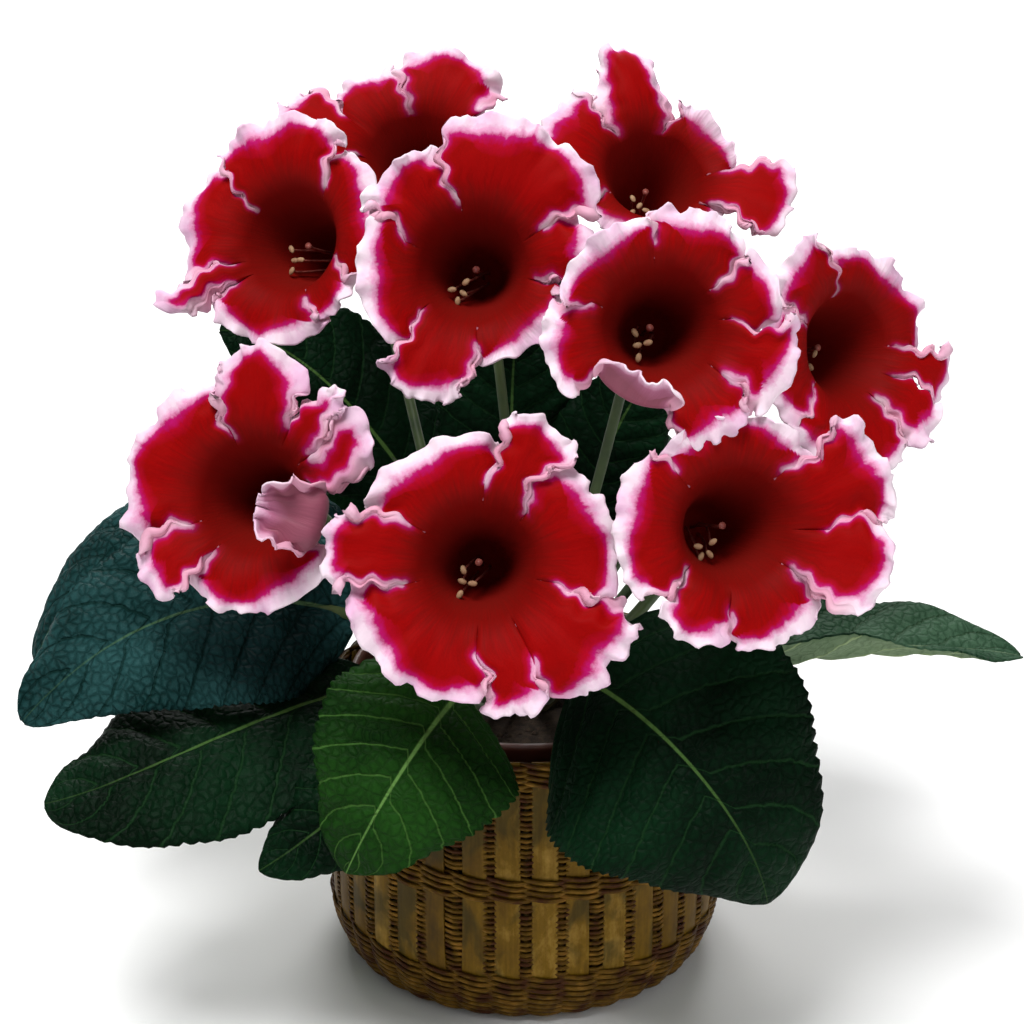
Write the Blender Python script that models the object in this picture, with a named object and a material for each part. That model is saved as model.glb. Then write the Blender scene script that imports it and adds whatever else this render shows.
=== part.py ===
"""A gloxinia in bloom, in a red-brown plastic pot that stands in a woven bamboo basket.

Lengths in the tables are millimetres. +Z is up, the origin is the centre of the basket's underside,
and -Y is the side with the most flowers.
"""

import math

import bmesh
import bpy
from mathutils import Matrix, Vector

MM = 0.001
GAP = 0.35

# Basket
FOOT_RADIUS = 56.0
BELLY_RADIUS = 68.0
RIM_RADIUS = 66.0
BELLY_HEIGHT = 27.0
RIM_HEIGHT = 97.0
WALL = 2.6
SLATS = 32
SLAT_RAISE = 0.7
WALL_ROWS = (0.0, 3.0, 10.0, 24.0, RIM_HEIGHT)
BAND_GAP = 0.6
BAND_RIDGE = 1.7
BAND_DIP = 0.9
BAND_SEGMENTS = 40
# Each woven band: its lowest and highest level, and its rows of canes.
BANDS = {
    "basket_foot_band": (3.0, 20.0, 4),
    "basket_middle_band": (48.0, 57.0, 3),
    "basket_rim_band": (88.0, RIM_HEIGHT, 3),
}
FLOOR = 3.0

# Pot, soil and crown
POT_RADIUS = 59.5
POT_FOOT_RADIUS = 44.0
POT_WALL = 2.4
POT_HEIGHT = 100.0
POT_FLOOR = 3.0
POT_LIP_HEIGHT = 13.0
POT_LIP_STEP = 5.0
DRAIN_RADIUS = 6.0
SOIL_DEPTH = 14.0
SOIL_MOUND = 2.0
SOIL_MOUND_RADIUS = 30.0
SOIL_GAP = 0.5
CROWN_RADIUS = 15.0
CROWN_HEIGHT = 97.0
CROWN_NECK = 8.0
CROWN_DEPTH = 6.0
NECK_DROP = 9.0
CROWN_RISES = (-28, -2, 24, 50, 76)
POT_SEGMENTS = 32
SOIL_SEGMENTS = 24
CROWN_SEGMENTS = 14

# Flowers
TUBE_LENGTH = 38.0
THROAT_RADIUS = 16.0
TUBE_PROFILE = ((5.0, -38.0), (12.0, -15.0), (THROAT_RADIUS, 0.0))
FLARE_START = 42.0
FLARE_END = 104.0
PETAL_THICKNESS = 0.9
NOTCH_CURL = 46.0
RUFFLE = 1.5
LOBE_COLUMNS = 5
LIMB_ROWS = 3
STALK_RADIUS = 1.7
STALK_STEPS = 6
SEAT_DROP = 2.0
SEPALS = 5
# The calyx, from its outside round the tips to its inside: (radius, height) at a sepal, then between sepals.
CALYX = (
    ((7.0, -39.8), (7.0, -39.8)), ((11.3, -26.0), (8.1, -36.8)),
    ((10.5, -26.3), (7.3, -36.4)), ((6.0, -39.0), (6.0, -39.0)),
)

# The stamens' stalk, their joined head and the stigma beyond it: (radius, height) up the flower's axis.
PISTIL = (
    (0.0, -38.5), (1.5, -38.5), (0.9, -17.0), (3.4, -15.0),
    (3.0, -12.5), (0.8, -11.5), (1.5, -6.0), (0.0, -5.0),
)
PISTIL_SEGMENTS = 6

# Leaves
LEAF_THICKNESS = 1.0
LEAF_COLUMNS = 4
LEAF_ROWS = 10
LEAF_BASE_HALF_WIDTH = 1.2
EDGE_WAVE = 1.6
TOOTH_OUT = 1.03
TOOTH_IN = 0.95
PETIOLE_RADIUS = 2.3
PETIOLE_STEPS = 4
MIDRIB_SHARES = (0.03, 0.3, 0.62)
MIDRIB_DROP = 0.9

PETAL_RED = (0.42, 0.0, 0.01, 1.0)
CALYX_GREEN = (0.12, 0.2, 0.06, 1.0)
LEAF_GREEN = (0.02, 0.09, 0.035, 1.0)
YOUNG_LEAF_GREEN = (0.06, 0.2, 0.02, 1.0)
ANTHER_CREAM = (0.75, 0.55, 0.35, 1.0)
BAMBOO = (0.42, 0.27, 0.08, 1.0)
BAMBOO_DARK = (0.3, 0.17, 0.05, 1.0)
POT_BROWN = (0.16, 0.05, 0.03, 1.0)
SOIL_BROWN = (0.035, 0.022, 0.014, 1.0)
CROWN_BROWN = (0.14, 0.1, 0.05, 1.0)

# Each flower: the centre of its throat, the way it faces (degrees round from the front, to the right,
# and up), the place on the crown where its stalk starts (degrees round and up), and its lobes in turn.
# A lobe starts at a notch: notch angle seen from the front, notch radius, the lobe's reach, how far it
# curls forward in degrees, and how pointed it is (0 round, 1 a plain point).
FLOWERS = {
    "back_left": (
        (-37, 48, 266), (-8, 46), (150, 62),
        ((36, 27, 39, 10, 0), (102, 17, 35, 8, 0), (158, 29, 46, 20, 0), (189, 21, 30, 0, 0),
         (250, 21, 26, 0, 0), (-44, 25, 27, 0, 0)),
    ),
    "upper_left": (
        (-74, 0, 247), (-26, 22), (-140, 50),
        ((-59, 22, 32, 15, 0), (-9, 19, 36, 0, 0), (56, 22, 39, 0, 0), (149, 17, 38, 0, 0),
         (209, 22, 46, 45, 0.3), (226, 23, 34, 0, 0)),
    ),
    "upper_middle": (
        (-16, -42, 248), (-4, 18), (-95, 66),
        ((-10, 20, 38, 20, 0), (28, 25, 45, 0, 0), (102, 21, 38, 6, 0), (161, 22, 35, 35, 0),
         (220, 21, 42, 5, 0.3), (276, 24, 30, 20, 0)),
    ),
    "back_right": (
        (42, 30, 262), (10, 42), (40, 58),
        ((-41, 23, 46, 5, 0), (-4, 24, 36, 25, 0), (72, 17, 44, -5, 0.9), (140, 19, 42, 0, 0),
         (202, 20, 28, 0, 0), (268, 17, 26, 0, 0)),
    ),
    "middle_right": (
        (37, -80, 240), (4, 18), (-50, 60),
        ((6, 21, 31, 0, 0), (36, 20, 34, 0, 0), (95, 24, 32, 25, 0), (161, 22, 34, 0, 0),
         (222, 20, 36, 125, 0), (269, 21, 36, 0, 0), (-39, 23, 39, 0, 0)),
    ),
    "far_right": (
        (99, -20, 218), (34, 15), (-5, 48),
        ((-67, 20, 40, 20, 0), (-38, 21, 40, 0, 0), (-8, 20, 34, 0, 0), (70, 18, 31, 0, 0),
         (150, 20, 36, 0, 0), (210, 22, 36, 10, 0)),
    ),
    "low_left": (
        (-81, -65, 184), (-14, 20), (-155, 30),
        ((-42, 17, 36, 150, 0), (20, 20, 46, 10, 0), (40, 25, 49, 20, 0.4), (68, 23, 42, 5, 0.7),
         (122, 17, 43, 0, 0), (208, 21, 40, 10, 0), (239, 21, 34, 0, 0)),
    ),
    "low_middle": (
        (-14, -95, 175), (-1, 22), (-100, 34),
        ((-58, 32, 49, 0, 0), (-15, 24, 40, 0, 0), (46, 21, 44, 0, 0), (86, 24, 37, 0, 0),
         (150, 24, 44, 0, 0), (197, 23, 40, 0, 0), (270, 27, 44, 0, 0)),
    ),
    "low_right": (
        (58, -95, 186), (14, 20), (-60, 30),
        ((-42, 21, 45, 40, 0.2), (-7, 27, 46, 0, 0), (45, 22, 27, 10, 0), (136, 25, 37, 0, 0),
         (214, 20, 39, 15, 0.8), (260, 25, 42, 0, 0)),
    ),
}

# Each leaf: blade base, two points that pull its midrib, tip, half width, the way its face looks,
# the fall of its sides (a share of the half width), and the place on the crown where its stalk starts.
LEAVES = {
    "left_high": (
        (-62, 14, 124), (-95, 20, 148), (-140, 12, 141), (-166, -2, 102),
        36, (-0.3, -0.5, 1), 0.3, (172, 10),
    ),
    "left": (
        (-66, -26, 133), (-95, -38, 148), (-130, -57, 141), (-155, -66, 111),
        34, (-0.2, -0.9, 0.9), 0.08, (-168, 1),
    ),
    "left_low": (
        (-50, -43, 110), (-82, -61, 112), (-118, -82, 98), (-145, -86, 94),
        27, (-0.1, -0.5, 1), 0.14, (-147, 2),
    ),
    "front_left": (
        (-20, -66, 121), (-26, -98, 130), (-44, -115, 108), (-53, -106, 82),
        31, (-0.1, -1, 0.35), 0.12, (-108, 4),
    ),
    "front_low": (
        (-25, -71, 100), (-39, -83, 89), (-57, -95, 75), (-75, -97, 65),
        17, (-0.25, -1, 0.6), 0.12, (-127, -3),
    ),
    "front_right": (
        (16, -61, 124), (36, -98, 132), (66, -117, 103), (70, -98, 69),
        43, (0.1, -1, 0.45), 0.14, (-74, 2),
    ),
    "right": (
        (32, -34, 118), (78, -38, 130), (122, -36, 133), (159, -32, 117),
        30, (0.0, -0.08, 1), -0.2, (-36, 6),
    ),
    "right_back": (
        (52, 24, 126), (86, 38, 162), (122, 52, 152), (142, 60, 106),
        37, (0.2, -0.3, 1), 0.16, (22, 8),
    ),
    "back_right": (
        (24, 50, 130), (42, 76, 172), (64, 110, 156), (74, 134, 100),
        36, (0.1, -0.3, 1), 0.16, (64, 8),
    ),
    "back": (
        (-8, 52, 138), (-10, 80, 190), (-12, 116, 192), (-12, 138, 138),
        26, (0, -0.5, 1), 0.16, (98, 14),
    ),
    "back_left": (
        (-46, 52, 130), (-70, 80, 168), (-98, 104, 152), (-108, 118, 100),
        34, (-0.1, -0.3, 1), 0.16, (130, 4),
    ),
    "upper_left": (
        (-40, 50, 148), (-62, 62, 178), (-86, 66, 201), (-108, 64, 201),
        28, (0.3, -1, 0.5), 0.1, (148, 34),
    ),
    "upper_middle": (
        (-4, 14, 152), (-5, 12, 178), (-5, 14, 204), (-2, 12, 222),
        24, (0, -1, 0.25), 0.12, (100, 74),
    ),
    "upper_right": (
        (20, 5, 150), (24, 5, 174), (34, 5, 194), (44, 5, 206),
        19, (0, -1, 0.3), 0.12, (-2, 72),
    ),
}


def material(name, colour, roughness=0.6):
    """A plain finish in one colour."""
    made = bpy.data.materials.new(name)
    made.use_nodes = True
    shader = made.node_tree.nodes["Principled BSDF"]
    shader.inputs["Base Color"].default_value = colour
    shader.inputs["Roughness"].default_value = roughness
    return made


def bezier(points, t):
    """A point on the cubic curve of four control points."""
    a, b, c, d = points
    s = 1 - t
    return a * s**3 + b * (3 * s * s * t) + c * (3 * s * t * t) + d * t**3


def bezier_direction(points, t):
    a, b, c, d = points
    s = 1 - t
    return ((b - a) * s * s + (c - b) * (2 * s * t) + (d - c) * t * t).normalized()


def new_object(name, bm, finish, smooth=True):
    """Puts a bmesh that is in millimetres into the scene, in metres."""
    bmesh.ops.scale(bm, vec=(MM, MM, MM), verts=bm.verts)
    mesh = bpy.data.meshes.new(name)
    bm.to_mesh(mesh)
    bm.free()
    if smooth:
        mesh.shade_smooth()
    mesh.materials.append(finish)
    made = bpy.data.objects.new(name, mesh)
    bpy.context.scene.collection.objects.link(made)
    return made


def mapped_grid(columns, rows, place, ring=False):
    """A grid of columns by rows cells, each corner put where place(column, row) says."""
    bm = bmesh.new()
    bmesh.ops.create_grid(bm, x_segments=columns, y_segments=rows, size=1.0)
    for vert in bm.verts:
        column = round((vert.co.x + 1) / 2 * columns)
        row = round((vert.co.y + 1) / 2 * rows)
        vert.co = place(column % columns if ring else column, row)
    if ring:
        bmesh.ops.remove_doubles(bm, verts=bm.verts, dist=1e-4)
    bmesh.ops.triangulate(bm, faces=bm.faces)
    return bm


def thicken(bm, thickness):
    """Turns a sheet into a closed wall, alike on both faces, by adding its copy on the side it faces."""
    bm.normal_update()
    sheet = bm.faces[:]
    rim = [(edge.verts[0], edge.verts[1]) for edge in bm.edges if edge.is_boundary]
    shift = {vert: vert.normal * thickness for vert in bm.verts}
    twin = bmesh.ops.duplicate(bm, geom=bm.verts[:] + bm.edges[:] + sheet)["vert_map"]
    for vert, offset in shift.items():
        twin[vert].co = vert.co + offset
    for near, far in rim:
        bm.faces.new((near, far, twin[far]))
        bm.faces.new((near, twin[far], twin[near]))
    bmesh.ops.reverse_faces(bm, faces=sheet)
    bmesh.ops.recalc_face_normals(bm, faces=bm.faces)


def swept_tube(path, radii, sides):
    """A closed round bar along a list of points."""
    bm = bmesh.new()
    side = None
    rings = []
    for index, point in enumerate(path):
        ahead = path[min(index + 1, len(path) - 1)] - path[max(index - 1, 0)]
        ahead.normalize()
        if side is None:
            side = ahead.orthogonal()
        side = (side - ahead * side.dot(ahead)).normalized()
        across = ahead.cross(side)
        ring = []
        for corner in range(sides):
            turn = math.tau * corner / sides
            offset = side * math.cos(turn) + across * math.sin(turn)
            ring.append(bm.verts.new(point + offset * radii[index]))
        rings.append(ring)
    for near, far in zip(rings, rings[1:]):
        for corner in range(sides):
            following = (corner + 1) % sides
            bm.faces.new((near[corner], near[following], far[following], far[corner]))
    bm.faces.new(rings[0][::-1])
    bm.faces.new(rings[-1])
    bmesh.ops.recalc_face_normals(bm, faces=bm.faces)
    return bm


def turned(profile, segments):
    """A closed body turned from a closed profile of (radius, height) points round Z."""
    bm = bmesh.new()
    verts = [bm.verts.new((radius, 0, height)) for radius, height in profile]
    edges = [bm.edges.new((a, b)) for a, b in zip(verts, verts[1:] + verts[:1])]
    bmesh.ops.spin(
        bm, geom=verts + edges, axis=(0, 0, 1), cent=(0, 0, 0), angle=math.tau,
        steps=segments, use_merge=True, use_duplicate=False,
    )
    bmesh.ops.remove_doubles(bm, verts=bm.verts, dist=1e-4)
    bmesh.ops.recalc_face_normals(bm, faces=bm.faces)
    return bm


def fuse(body, extras):
    """Joins closed bodies into one, and removes the extras."""
    helpers = bpy.data.collections.new("fused")
    for extra in extras:
        helpers.objects.link(extra)
    joint = body.modifiers.new("join", "BOOLEAN")
    joint.operation = "UNION"
    joint.operand_type = "COLLECTION"
    joint.collection = helpers
    joint.solver = "EXACT"
    graph = bpy.context.evaluated_depsgraph_get()
    joined = bpy.data.meshes.new_from_object(body.evaluated_get(graph))
    body.modifiers.clear()
    body.data = joined
    for extra in extras:
        bpy.data.objects.remove(extra)
    bpy.data.collections.remove(helpers)


def crown_point(place, lift=0.0):
    """A point on the crown's dome, and the way out of it."""
    turn, rise = (math.radians(value) for value in place)
    out = Vector((math.cos(turn) * math.cos(rise), math.sin(turn) * math.cos(rise), math.sin(rise)))
    return Vector((0, 0, CROWN_HEIGHT)) + out * (CROWN_RADIUS + GAP + lift), out


def basket_radius(height):
    """The basket's outside radius: a rounded belly, then a slight taper up to the rim."""
    if height < BELLY_HEIGHT:
        fall = 1 - height / BELLY_HEIGHT
        return FOOT_RADIUS + (BELLY_RADIUS - FOOT_RADIUS) * math.sqrt(1 - fall**2)
    rise = (height - BELLY_HEIGHT) / (RIM_HEIGHT - BELLY_HEIGHT)
    return BELLY_RADIUS + (RIM_RADIUS - BELLY_RADIUS) * rise**2


def make_basket(bamboo):
    """The wall and its floor: flat upright slats stand proud of the narrow stakes between them."""
    columns = SLATS * 3
    bm = bmesh.new()
    bmesh.ops.create_circle(bm, cap_ends=False, radius=1.0, segments=columns)
    ring = list(bm.edges)
    levels = [(height, 0.0, True) for height in WALL_ROWS]
    levels += [(RIM_HEIGHT, WALL, False), (BELLY_HEIGHT, WALL, False), (FLOOR, WALL, False)]
    for index, (height, inset, slatted) in enumerate(levels):
        if index:
            grown = bmesh.ops.extrude_edge_only(bm, edges=ring)["geom"]
            ring = [part for part in grown if isinstance(part, bmesh.types.BMEdge)]
        corners = {vert for edge in ring for vert in edge.verts}
        for vert in corners:
            column = round(math.atan2(vert.co.y, vert.co.x) / math.tau * columns) % columns
            radius = basket_radius(height) - inset
            if slatted and column % 3 == 0:
                radius -= SLAT_RAISE
            turn = math.tau * column / columns
            vert.co = (radius * math.cos(turn), radius * math.sin(turn), height)
    bmesh.ops.holes_fill(bm, edges=[edge for edge in bm.edges if edge.is_boundary], sides=0)
    bmesh.ops.recalc_face_normals(bm, faces=bm.faces)
    return new_object("basket_wall", bm, bamboo, smooth=False)


def wall_radius(height):
    """The wall's outside radius where it is straight between two of its rows."""
    for low, high in zip(WALL_ROWS, WALL_ROWS[1:]):
        if height <= high:
            share = (height - low) / (high - low)
            return basket_radius(low) * (1 - share) + basket_radius(high) * share
    return basket_radius(WALL_ROWS[-1])


def band_ring(name, low, high, ridges, finish):
    """A hoop of split canes woven round the wall, with one ridge for each row of canes."""
    profile = [(0.0, low)]
    for ridge in range(ridges):
        profile.append((BAND_RIDGE, low + (high - low) * (ridge + 0.5) / ridges))
        if ridge < ridges - 1:
            profile.append((BAND_DIP, low + (high - low) * (ridge + 1) / ridges))
    profile.append((0.0, high))
    profile += [(0.0, height) for height in reversed(WALL_ROWS) if low < height < high]
    bm = turned([(wall_radius(level) + BAND_GAP + out, level) for out, level in profile], BAND_SEGMENTS)
    return new_object(name, bm, finish)


def make_pot(pot_finish, soil_finish, crown_finish):
    """The pot, the soil in it, and the crown that the leaves and flower stalks grow from."""
    rim = POT_RADIUS - POT_WALL
    foot_inside = POT_FOOT_RADIUS - POT_WALL
    base = FLOOR + GAP
    floor_top = base + POT_FLOOR
    lip = POT_HEIGHT - POT_LIP_HEIGHT
    pot = turned(
        [
            (DRAIN_RADIUS, base), (POT_FOOT_RADIUS, base), (POT_RADIUS - POT_LIP_STEP, lip - 1.0),
            (POT_RADIUS, lip), (POT_RADIUS, POT_HEIGHT), (rim, POT_HEIGHT), (foot_inside, floor_top),
            (DRAIN_RADIUS, floor_top),
        ],
        POT_SEGMENTS,
    )
    new_object("grow_pot", pot, pot_finish)
    soil_top = POT_HEIGHT - SOIL_DEPTH
    soil_bottom = floor_top + GAP
    hole_floor = soil_top - CROWN_DEPTH

    def inside(height):
        share = (height - floor_top) / (POT_HEIGHT - floor_top)
        return foot_inside + (rim - foot_inside) * share - SOIL_GAP

    hole = CROWN_NECK + GAP
    soil = turned(
        [
            (0.0, soil_bottom), (inside(soil_bottom), soil_bottom), (inside(soil_top), soil_top),
            (SOIL_MOUND_RADIUS, soil_top + SOIL_MOUND), (hole, soil_top + 1.0), (hole, hole_floor),
            (0.0, hole_floor),
        ],
        SOIL_SEGMENTS,
    )
    new_object("soil", soil, soil_finish)
    seat = hole_floor + GAP
    profile = [(0.0, seat), (CROWN_NECK, seat), (CROWN_NECK, CROWN_HEIGHT - NECK_DROP)]
    for rise in CROWN_RISES:
        angle = math.radians(rise)
        profile.append((CROWN_RADIUS * math.cos(angle), CROWN_HEIGHT + CROWN_RADIUS * math.sin(angle)))
    profile.append((0.0, CROWN_HEIGHT + CROWN_RADIUS))
    new_object("crown", turned(profile, CROWN_SEGMENTS), crown_finish)


def flower_frame(azimuth, elevation):
    """The flower's own axes as a matrix: X to its right, Y up, and Z out of its throat."""
    turn, rise = math.radians(azimuth), math.radians(elevation)
    out = Vector((math.sin(turn) * math.cos(rise), -math.cos(turn) * math.cos(rise), math.sin(rise)))
    right = Vector((math.cos(turn), math.sin(turn), 0))
    return Matrix((right, out.cross(right), out)).transposed()


def lobe_outline(lobes, index, share):
    """Angle, radius and forward curl of the petal edge, share of the way across one lobe."""
    angle, notch, reach, curl, point = lobes[index]
    next_angle, next_notch = lobes[(index + 1) % len(lobes)][:2]
    span = (next_angle - angle) % 360
    across = 2 * share - 1
    leaning = math.copysign(abs(across) ** 0.6, across)
    edge_angle = angle + span * (0.5 + 0.5 * math.sin(math.pi / 2 * leaning))
    root = notch + (next_notch - notch) * share
    bulge = max(0.0, 1 - abs(across) ** (3 - 2 * point)) ** (0.5 + 0.5 * point)
    beside_notch = max(0.0, 1 - min(share, 1 - share) / 0.3) ** 2
    edge_radius = root + (reach - root) * bulge
    return edge_angle, angle + span * share, edge_radius, curl * bulge + NOTCH_CURL * beside_notch


def corolla_point(lobes, index, share, tube, limb):
    """A point of the flower in its own axes. Tube runs 0 to 1 up the throat, then limb 0 to 1 to the edge."""
    edge_angle, root_angle, edge_radius, curl = lobe_outline(lobes, index, share)
    if tube < 1:
        place = tube * (len(TUBE_PROFILE) - 1)
        step = min(int(place), len(TUBE_PROFILE) - 2)
        low, high = TUBE_PROFILE[step], TUBE_PROFILE[step + 1]
        radius = low[0] + (high[0] - low[0]) * (place - step)
        height = low[1] + (high[1] - low[1]) * (place - step)
        angle = math.radians(root_angle)
        return Vector((radius * math.cos(angle), radius * math.sin(angle), height))
    start = math.radians(FLARE_START)
    usual = math.radians(FLARE_END) - start
    bend = math.radians(FLARE_END - curl) - start
    if abs(bend) < 0.01:
        bend = 0.01
    length = (edge_radius - THROAT_RADIUS) * usual / (math.cos(start) - math.cos(start + usual))
    radius = THROAT_RADIUS + length * (math.cos(start) - math.cos(start + bend * limb)) / bend
    height = length * (math.sin(start + bend * limb) - math.sin(start)) / bend
    ruffle = RUFFLE * limb**3 * math.sin(math.tau * 2 * share + index * 1.7)
    angle = math.radians(root_angle + (edge_angle - root_angle) * limb * (2 - limb))
    return Vector((radius * math.cos(angle), radius * math.sin(angle), height + ruffle))


def make_corolla(name, mouth, frame, lobes, finish):
    """The red trumpet: a tube that opens into rounded, ruffled lobes with a notch between each two."""
    tube_rows = len(TUBE_PROFILE) - 1

    def place(column, row):
        index, step = divmod(column, LOBE_COLUMNS)
        tube = min(1.0, row / tube_rows)
        limb = max(0.0, (row - tube_rows) / LIMB_ROWS)
        return mouth + frame @ corolla_point(lobes, index, step / LOBE_COLUMNS, tube, limb)

    bm = mapped_grid(len(lobes) * LOBE_COLUMNS, tube_rows + LIMB_ROWS, place, ring=True)
    thicken(bm, PETAL_THICKNESS)
    return new_object(name, bm, finish)


def turn_of(point, mouth, frame):
    """How far round the flower's own axis a point lies, from -pi to pi."""
    local = frame.inverted() @ (point - mouth)
    return math.atan2(local.y, local.x)


def make_stalk(name, mouth, frame, start, finish):
    """The flower stalk with its five-pointed calyx, up to the back of the corolla."""
    out = frame @ Vector((0, 0, 1))
    seat = mouth + out * (CALYX[0][0][1] - SEAT_DROP)
    foot, leave = crown_point(start)
    pull = (seat - foot).length * 0.42
    path = [foot, foot + leave * pull, seat - out * pull * 0.7, seat]
    sides = SEPALS * 2
    points = [bezier(path, step / STALK_STEPS) for step in range(STALK_STEPS + 1)]
    bm = swept_tube(points, [STALK_RADIUS] * len(points), sides)
    ends = [face for face in bm.faces if len(face.verts) == sides]
    top = min(ends, key=lambda face: (face.calc_center_median() - seat).length)
    ring = sorted(top.verts, key=lambda vert: turn_of(vert.co, mouth, frame))
    bmesh.ops.delete(bm, geom=[top], context="FACES_ONLY")
    for tip, valley in CALYX:
        following = []
        for corner, vert in enumerate(ring):
            radius, height = tip if corner % 2 else valley
            turn = math.tau * corner / sides - math.pi
            place = Vector((radius * math.cos(turn), radius * math.sin(turn), height))
            following.append(bm.verts.new(mouth + frame @ place))
        for corner in range(sides):
            near = (corner + 1) % sides
            bm.faces.new((ring[corner], ring[near], following[near], following[corner]))
        ring = following
    bm.faces.new(ring)
    bmesh.ops.recalc_face_normals(bm, faces=bm.faces)
    bmesh.ops.triangulate(bm, faces=bm.faces)
    return new_object(name, bm, finish)


def make_pistil(name, mouth, frame, finish):
    """The stamens joined in a head on their stalk, with the stigma beyond them."""
    bm = turned(PISTIL, PISTIL_SEGMENTS)
    bmesh.ops.transform(bm, matrix=Matrix.Translation(mouth) @ frame.to_4x4(), verts=bm.verts)
    return new_object(name, bm, finish)


def leaf_half_width(share):
    """Ovate: widest at a third of the length, with a blunt tip."""
    return math.sin(math.pi * share**0.65) ** 0.62 if 0 < share < 1 else 0.0


def leaf_point(leaf, across, share):
    """A point of the blade: across runs -1 to 1 from edge to edge, share 0 to 1 from base to tip."""
    base, pull, pull_more, tip, half_width, face, fall = leaf[:7]
    line = [Vector(point) for point in (base, pull, pull_more, tip)]
    ahead = bezier_direction(line, share)
    side = ahead.cross(Vector(face)).normalized()
    normal = side.cross(ahead)
    width = half_width * leaf_half_width(share) + LEAF_BASE_HALF_WIDTH * (1 - share)
    wave = EDGE_WAVE * math.sin(share * 11 + across * 2) * across * across
    return bezier(line, share) + side * across * width + normal * (wave - fall * width * across * across)


def make_leaf(name, leaf, finish):
    """A toothed blade and its stalk, which runs on under the blade as the midrib."""

    def place(column, row):
        share = row / LEAF_ROWS
        across = 2 * column / LEAF_COLUMNS - 1
        if abs(across) == 1 and 0 < row < LEAF_ROWS:
            across *= TOOTH_OUT if row % 2 else TOOTH_IN
        return leaf_point(leaf, across, 0.004 + 0.992 * share)

    bm = mapped_grid(LEAF_COLUMNS, LEAF_ROWS, place)
    thicken(bm, LEAF_THICKNESS)
    blade = new_object(name, bm, finish)
    foot, leave = crown_point(leaf[7])
    base = Vector(leaf[0])
    line = [Vector(point) for point in leaf[:4]]
    ahead = bezier_direction(line, 0)
    reach = (base - foot).length * 0.4
    stalk = [foot, foot + leave * reach, base - ahead * reach, base]
    points = [bezier(stalk, step / PETIOLE_STEPS) for step in range(PETIOLE_STEPS)]
    radii = [PETIOLE_RADIUS] * len(points)
    for share in MIDRIB_SHARES:
        along = bezier_direction(line, share)
        normal = along.cross(Vector(leaf[5])).normalized().cross(along)
        points.append(bezier(line, share) - normal * MIDRIB_DROP)
        radii.append(PETIOLE_RADIUS * (1 - share) ** 0.9)
    fuse(blade, [new_object("midrib", swept_tube(points, radii, 5), finish)])
    return blade


def main():
    for old in list(bpy.data.objects):
        bpy.data.objects.remove(old)
    bamboo = material("bamboo", BAMBOO, 0.5)
    cane = material("cane", BAMBOO_DARK, 0.5)
    make_basket(bamboo)
    for name, (low, high, rows) in BANDS.items():
        band_ring(name, low, high, rows, cane)
    plastic = material("pot", POT_BROWN, 0.45)
    peat = material("soil", SOIL_BROWN, 0.95)
    corky = material("crown", CROWN_BROWN, 0.7)
    make_pot(plastic, peat, corky)
    petal = material("petal", PETAL_RED, 0.55)
    calyx = material("calyx", CALYX_GREEN, 0.6)
    anther = material("anther", ANTHER_CREAM, 0.7)
    for name, (mouth, facing, start, lobes) in FLOWERS.items():
        mouth = Vector(mouth)
        frame = flower_frame(*facing)
        make_corolla("corolla_" + name, mouth, frame, lobes, petal)
        make_stalk("stalk_" + name, mouth, frame, start, calyx)
        make_pistil("stamens_" + name, mouth, frame, anther)
    leaf_green = material("leaf", LEAF_GREEN, 0.5)
    young_green = material("young_leaf", YOUNG_LEAF_GREEN, 0.5)
    for name, leaf in LEAVES.items():
        make_leaf("leaf_" + name, leaf, young_green if name == "front_left" else leaf_green)


main()
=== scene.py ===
"""A gloxinia in bloom in its woven bamboo basket: the dressed object, its floor, light and camera.

Lengths are millimetres until a piece is finished. +Z is up and -Y is the side with the most flowers.
"""

import math

import bmesh
import bpy
import numpy as np
from mathutils import Matrix, Vector


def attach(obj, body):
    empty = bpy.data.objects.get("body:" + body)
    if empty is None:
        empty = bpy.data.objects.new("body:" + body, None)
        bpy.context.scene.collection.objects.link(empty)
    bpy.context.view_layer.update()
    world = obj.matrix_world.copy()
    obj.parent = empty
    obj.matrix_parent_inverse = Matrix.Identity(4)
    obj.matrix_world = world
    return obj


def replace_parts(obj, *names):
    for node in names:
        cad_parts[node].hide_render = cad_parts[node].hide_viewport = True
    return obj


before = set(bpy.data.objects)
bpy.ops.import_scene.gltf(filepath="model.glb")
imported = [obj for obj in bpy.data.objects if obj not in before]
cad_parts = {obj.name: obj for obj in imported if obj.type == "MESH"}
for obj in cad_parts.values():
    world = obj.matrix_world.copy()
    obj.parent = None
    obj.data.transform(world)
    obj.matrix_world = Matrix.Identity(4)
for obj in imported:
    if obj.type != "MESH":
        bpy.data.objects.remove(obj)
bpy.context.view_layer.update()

# Basket wall. Thirty-six flat slats of split bamboo stand round a narrow floor, bent in at the foot.
# Thin cane wefts run round behind the slats and come forward over a narrow stake between each two,
# which shows as a ladder of rungs.
MM = 0.001
FOOT_RADIUS = 56.0
BELLY_RADIUS = 68.0
RIM_RADIUS = 66.0
BELLY_HEIGHT = 27.0
RIM_HEIGHT = 97.0
SLATS = 36
SLAT_SHARE = 0.71
SLAT_THICKNESS = 1.0
SLAT_CROWN = 0.22
WORN_EDGE = 0.2
STAKE_HALF_TURN = 0.019
STAKE_INSET = 1.75
STAKE_THICKNESS = 0.7
RUNG_PITCH = 1.95
LOWER_RUNGS = (21.5, 47.5)
UPPER_RUNGS = (58.6, 88.0)
WEFT_THICK = 0.45
WEFT_TALL = 0.74
WEFT_INSET = 0.85
WEFT_SWING = 0.95
BAMBOO_LIGHT = (0.36, 0.22, 0.045, 1.0)
BAMBOO_GOLD = (0.16, 0.088, 0.006, 1.0)
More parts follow.
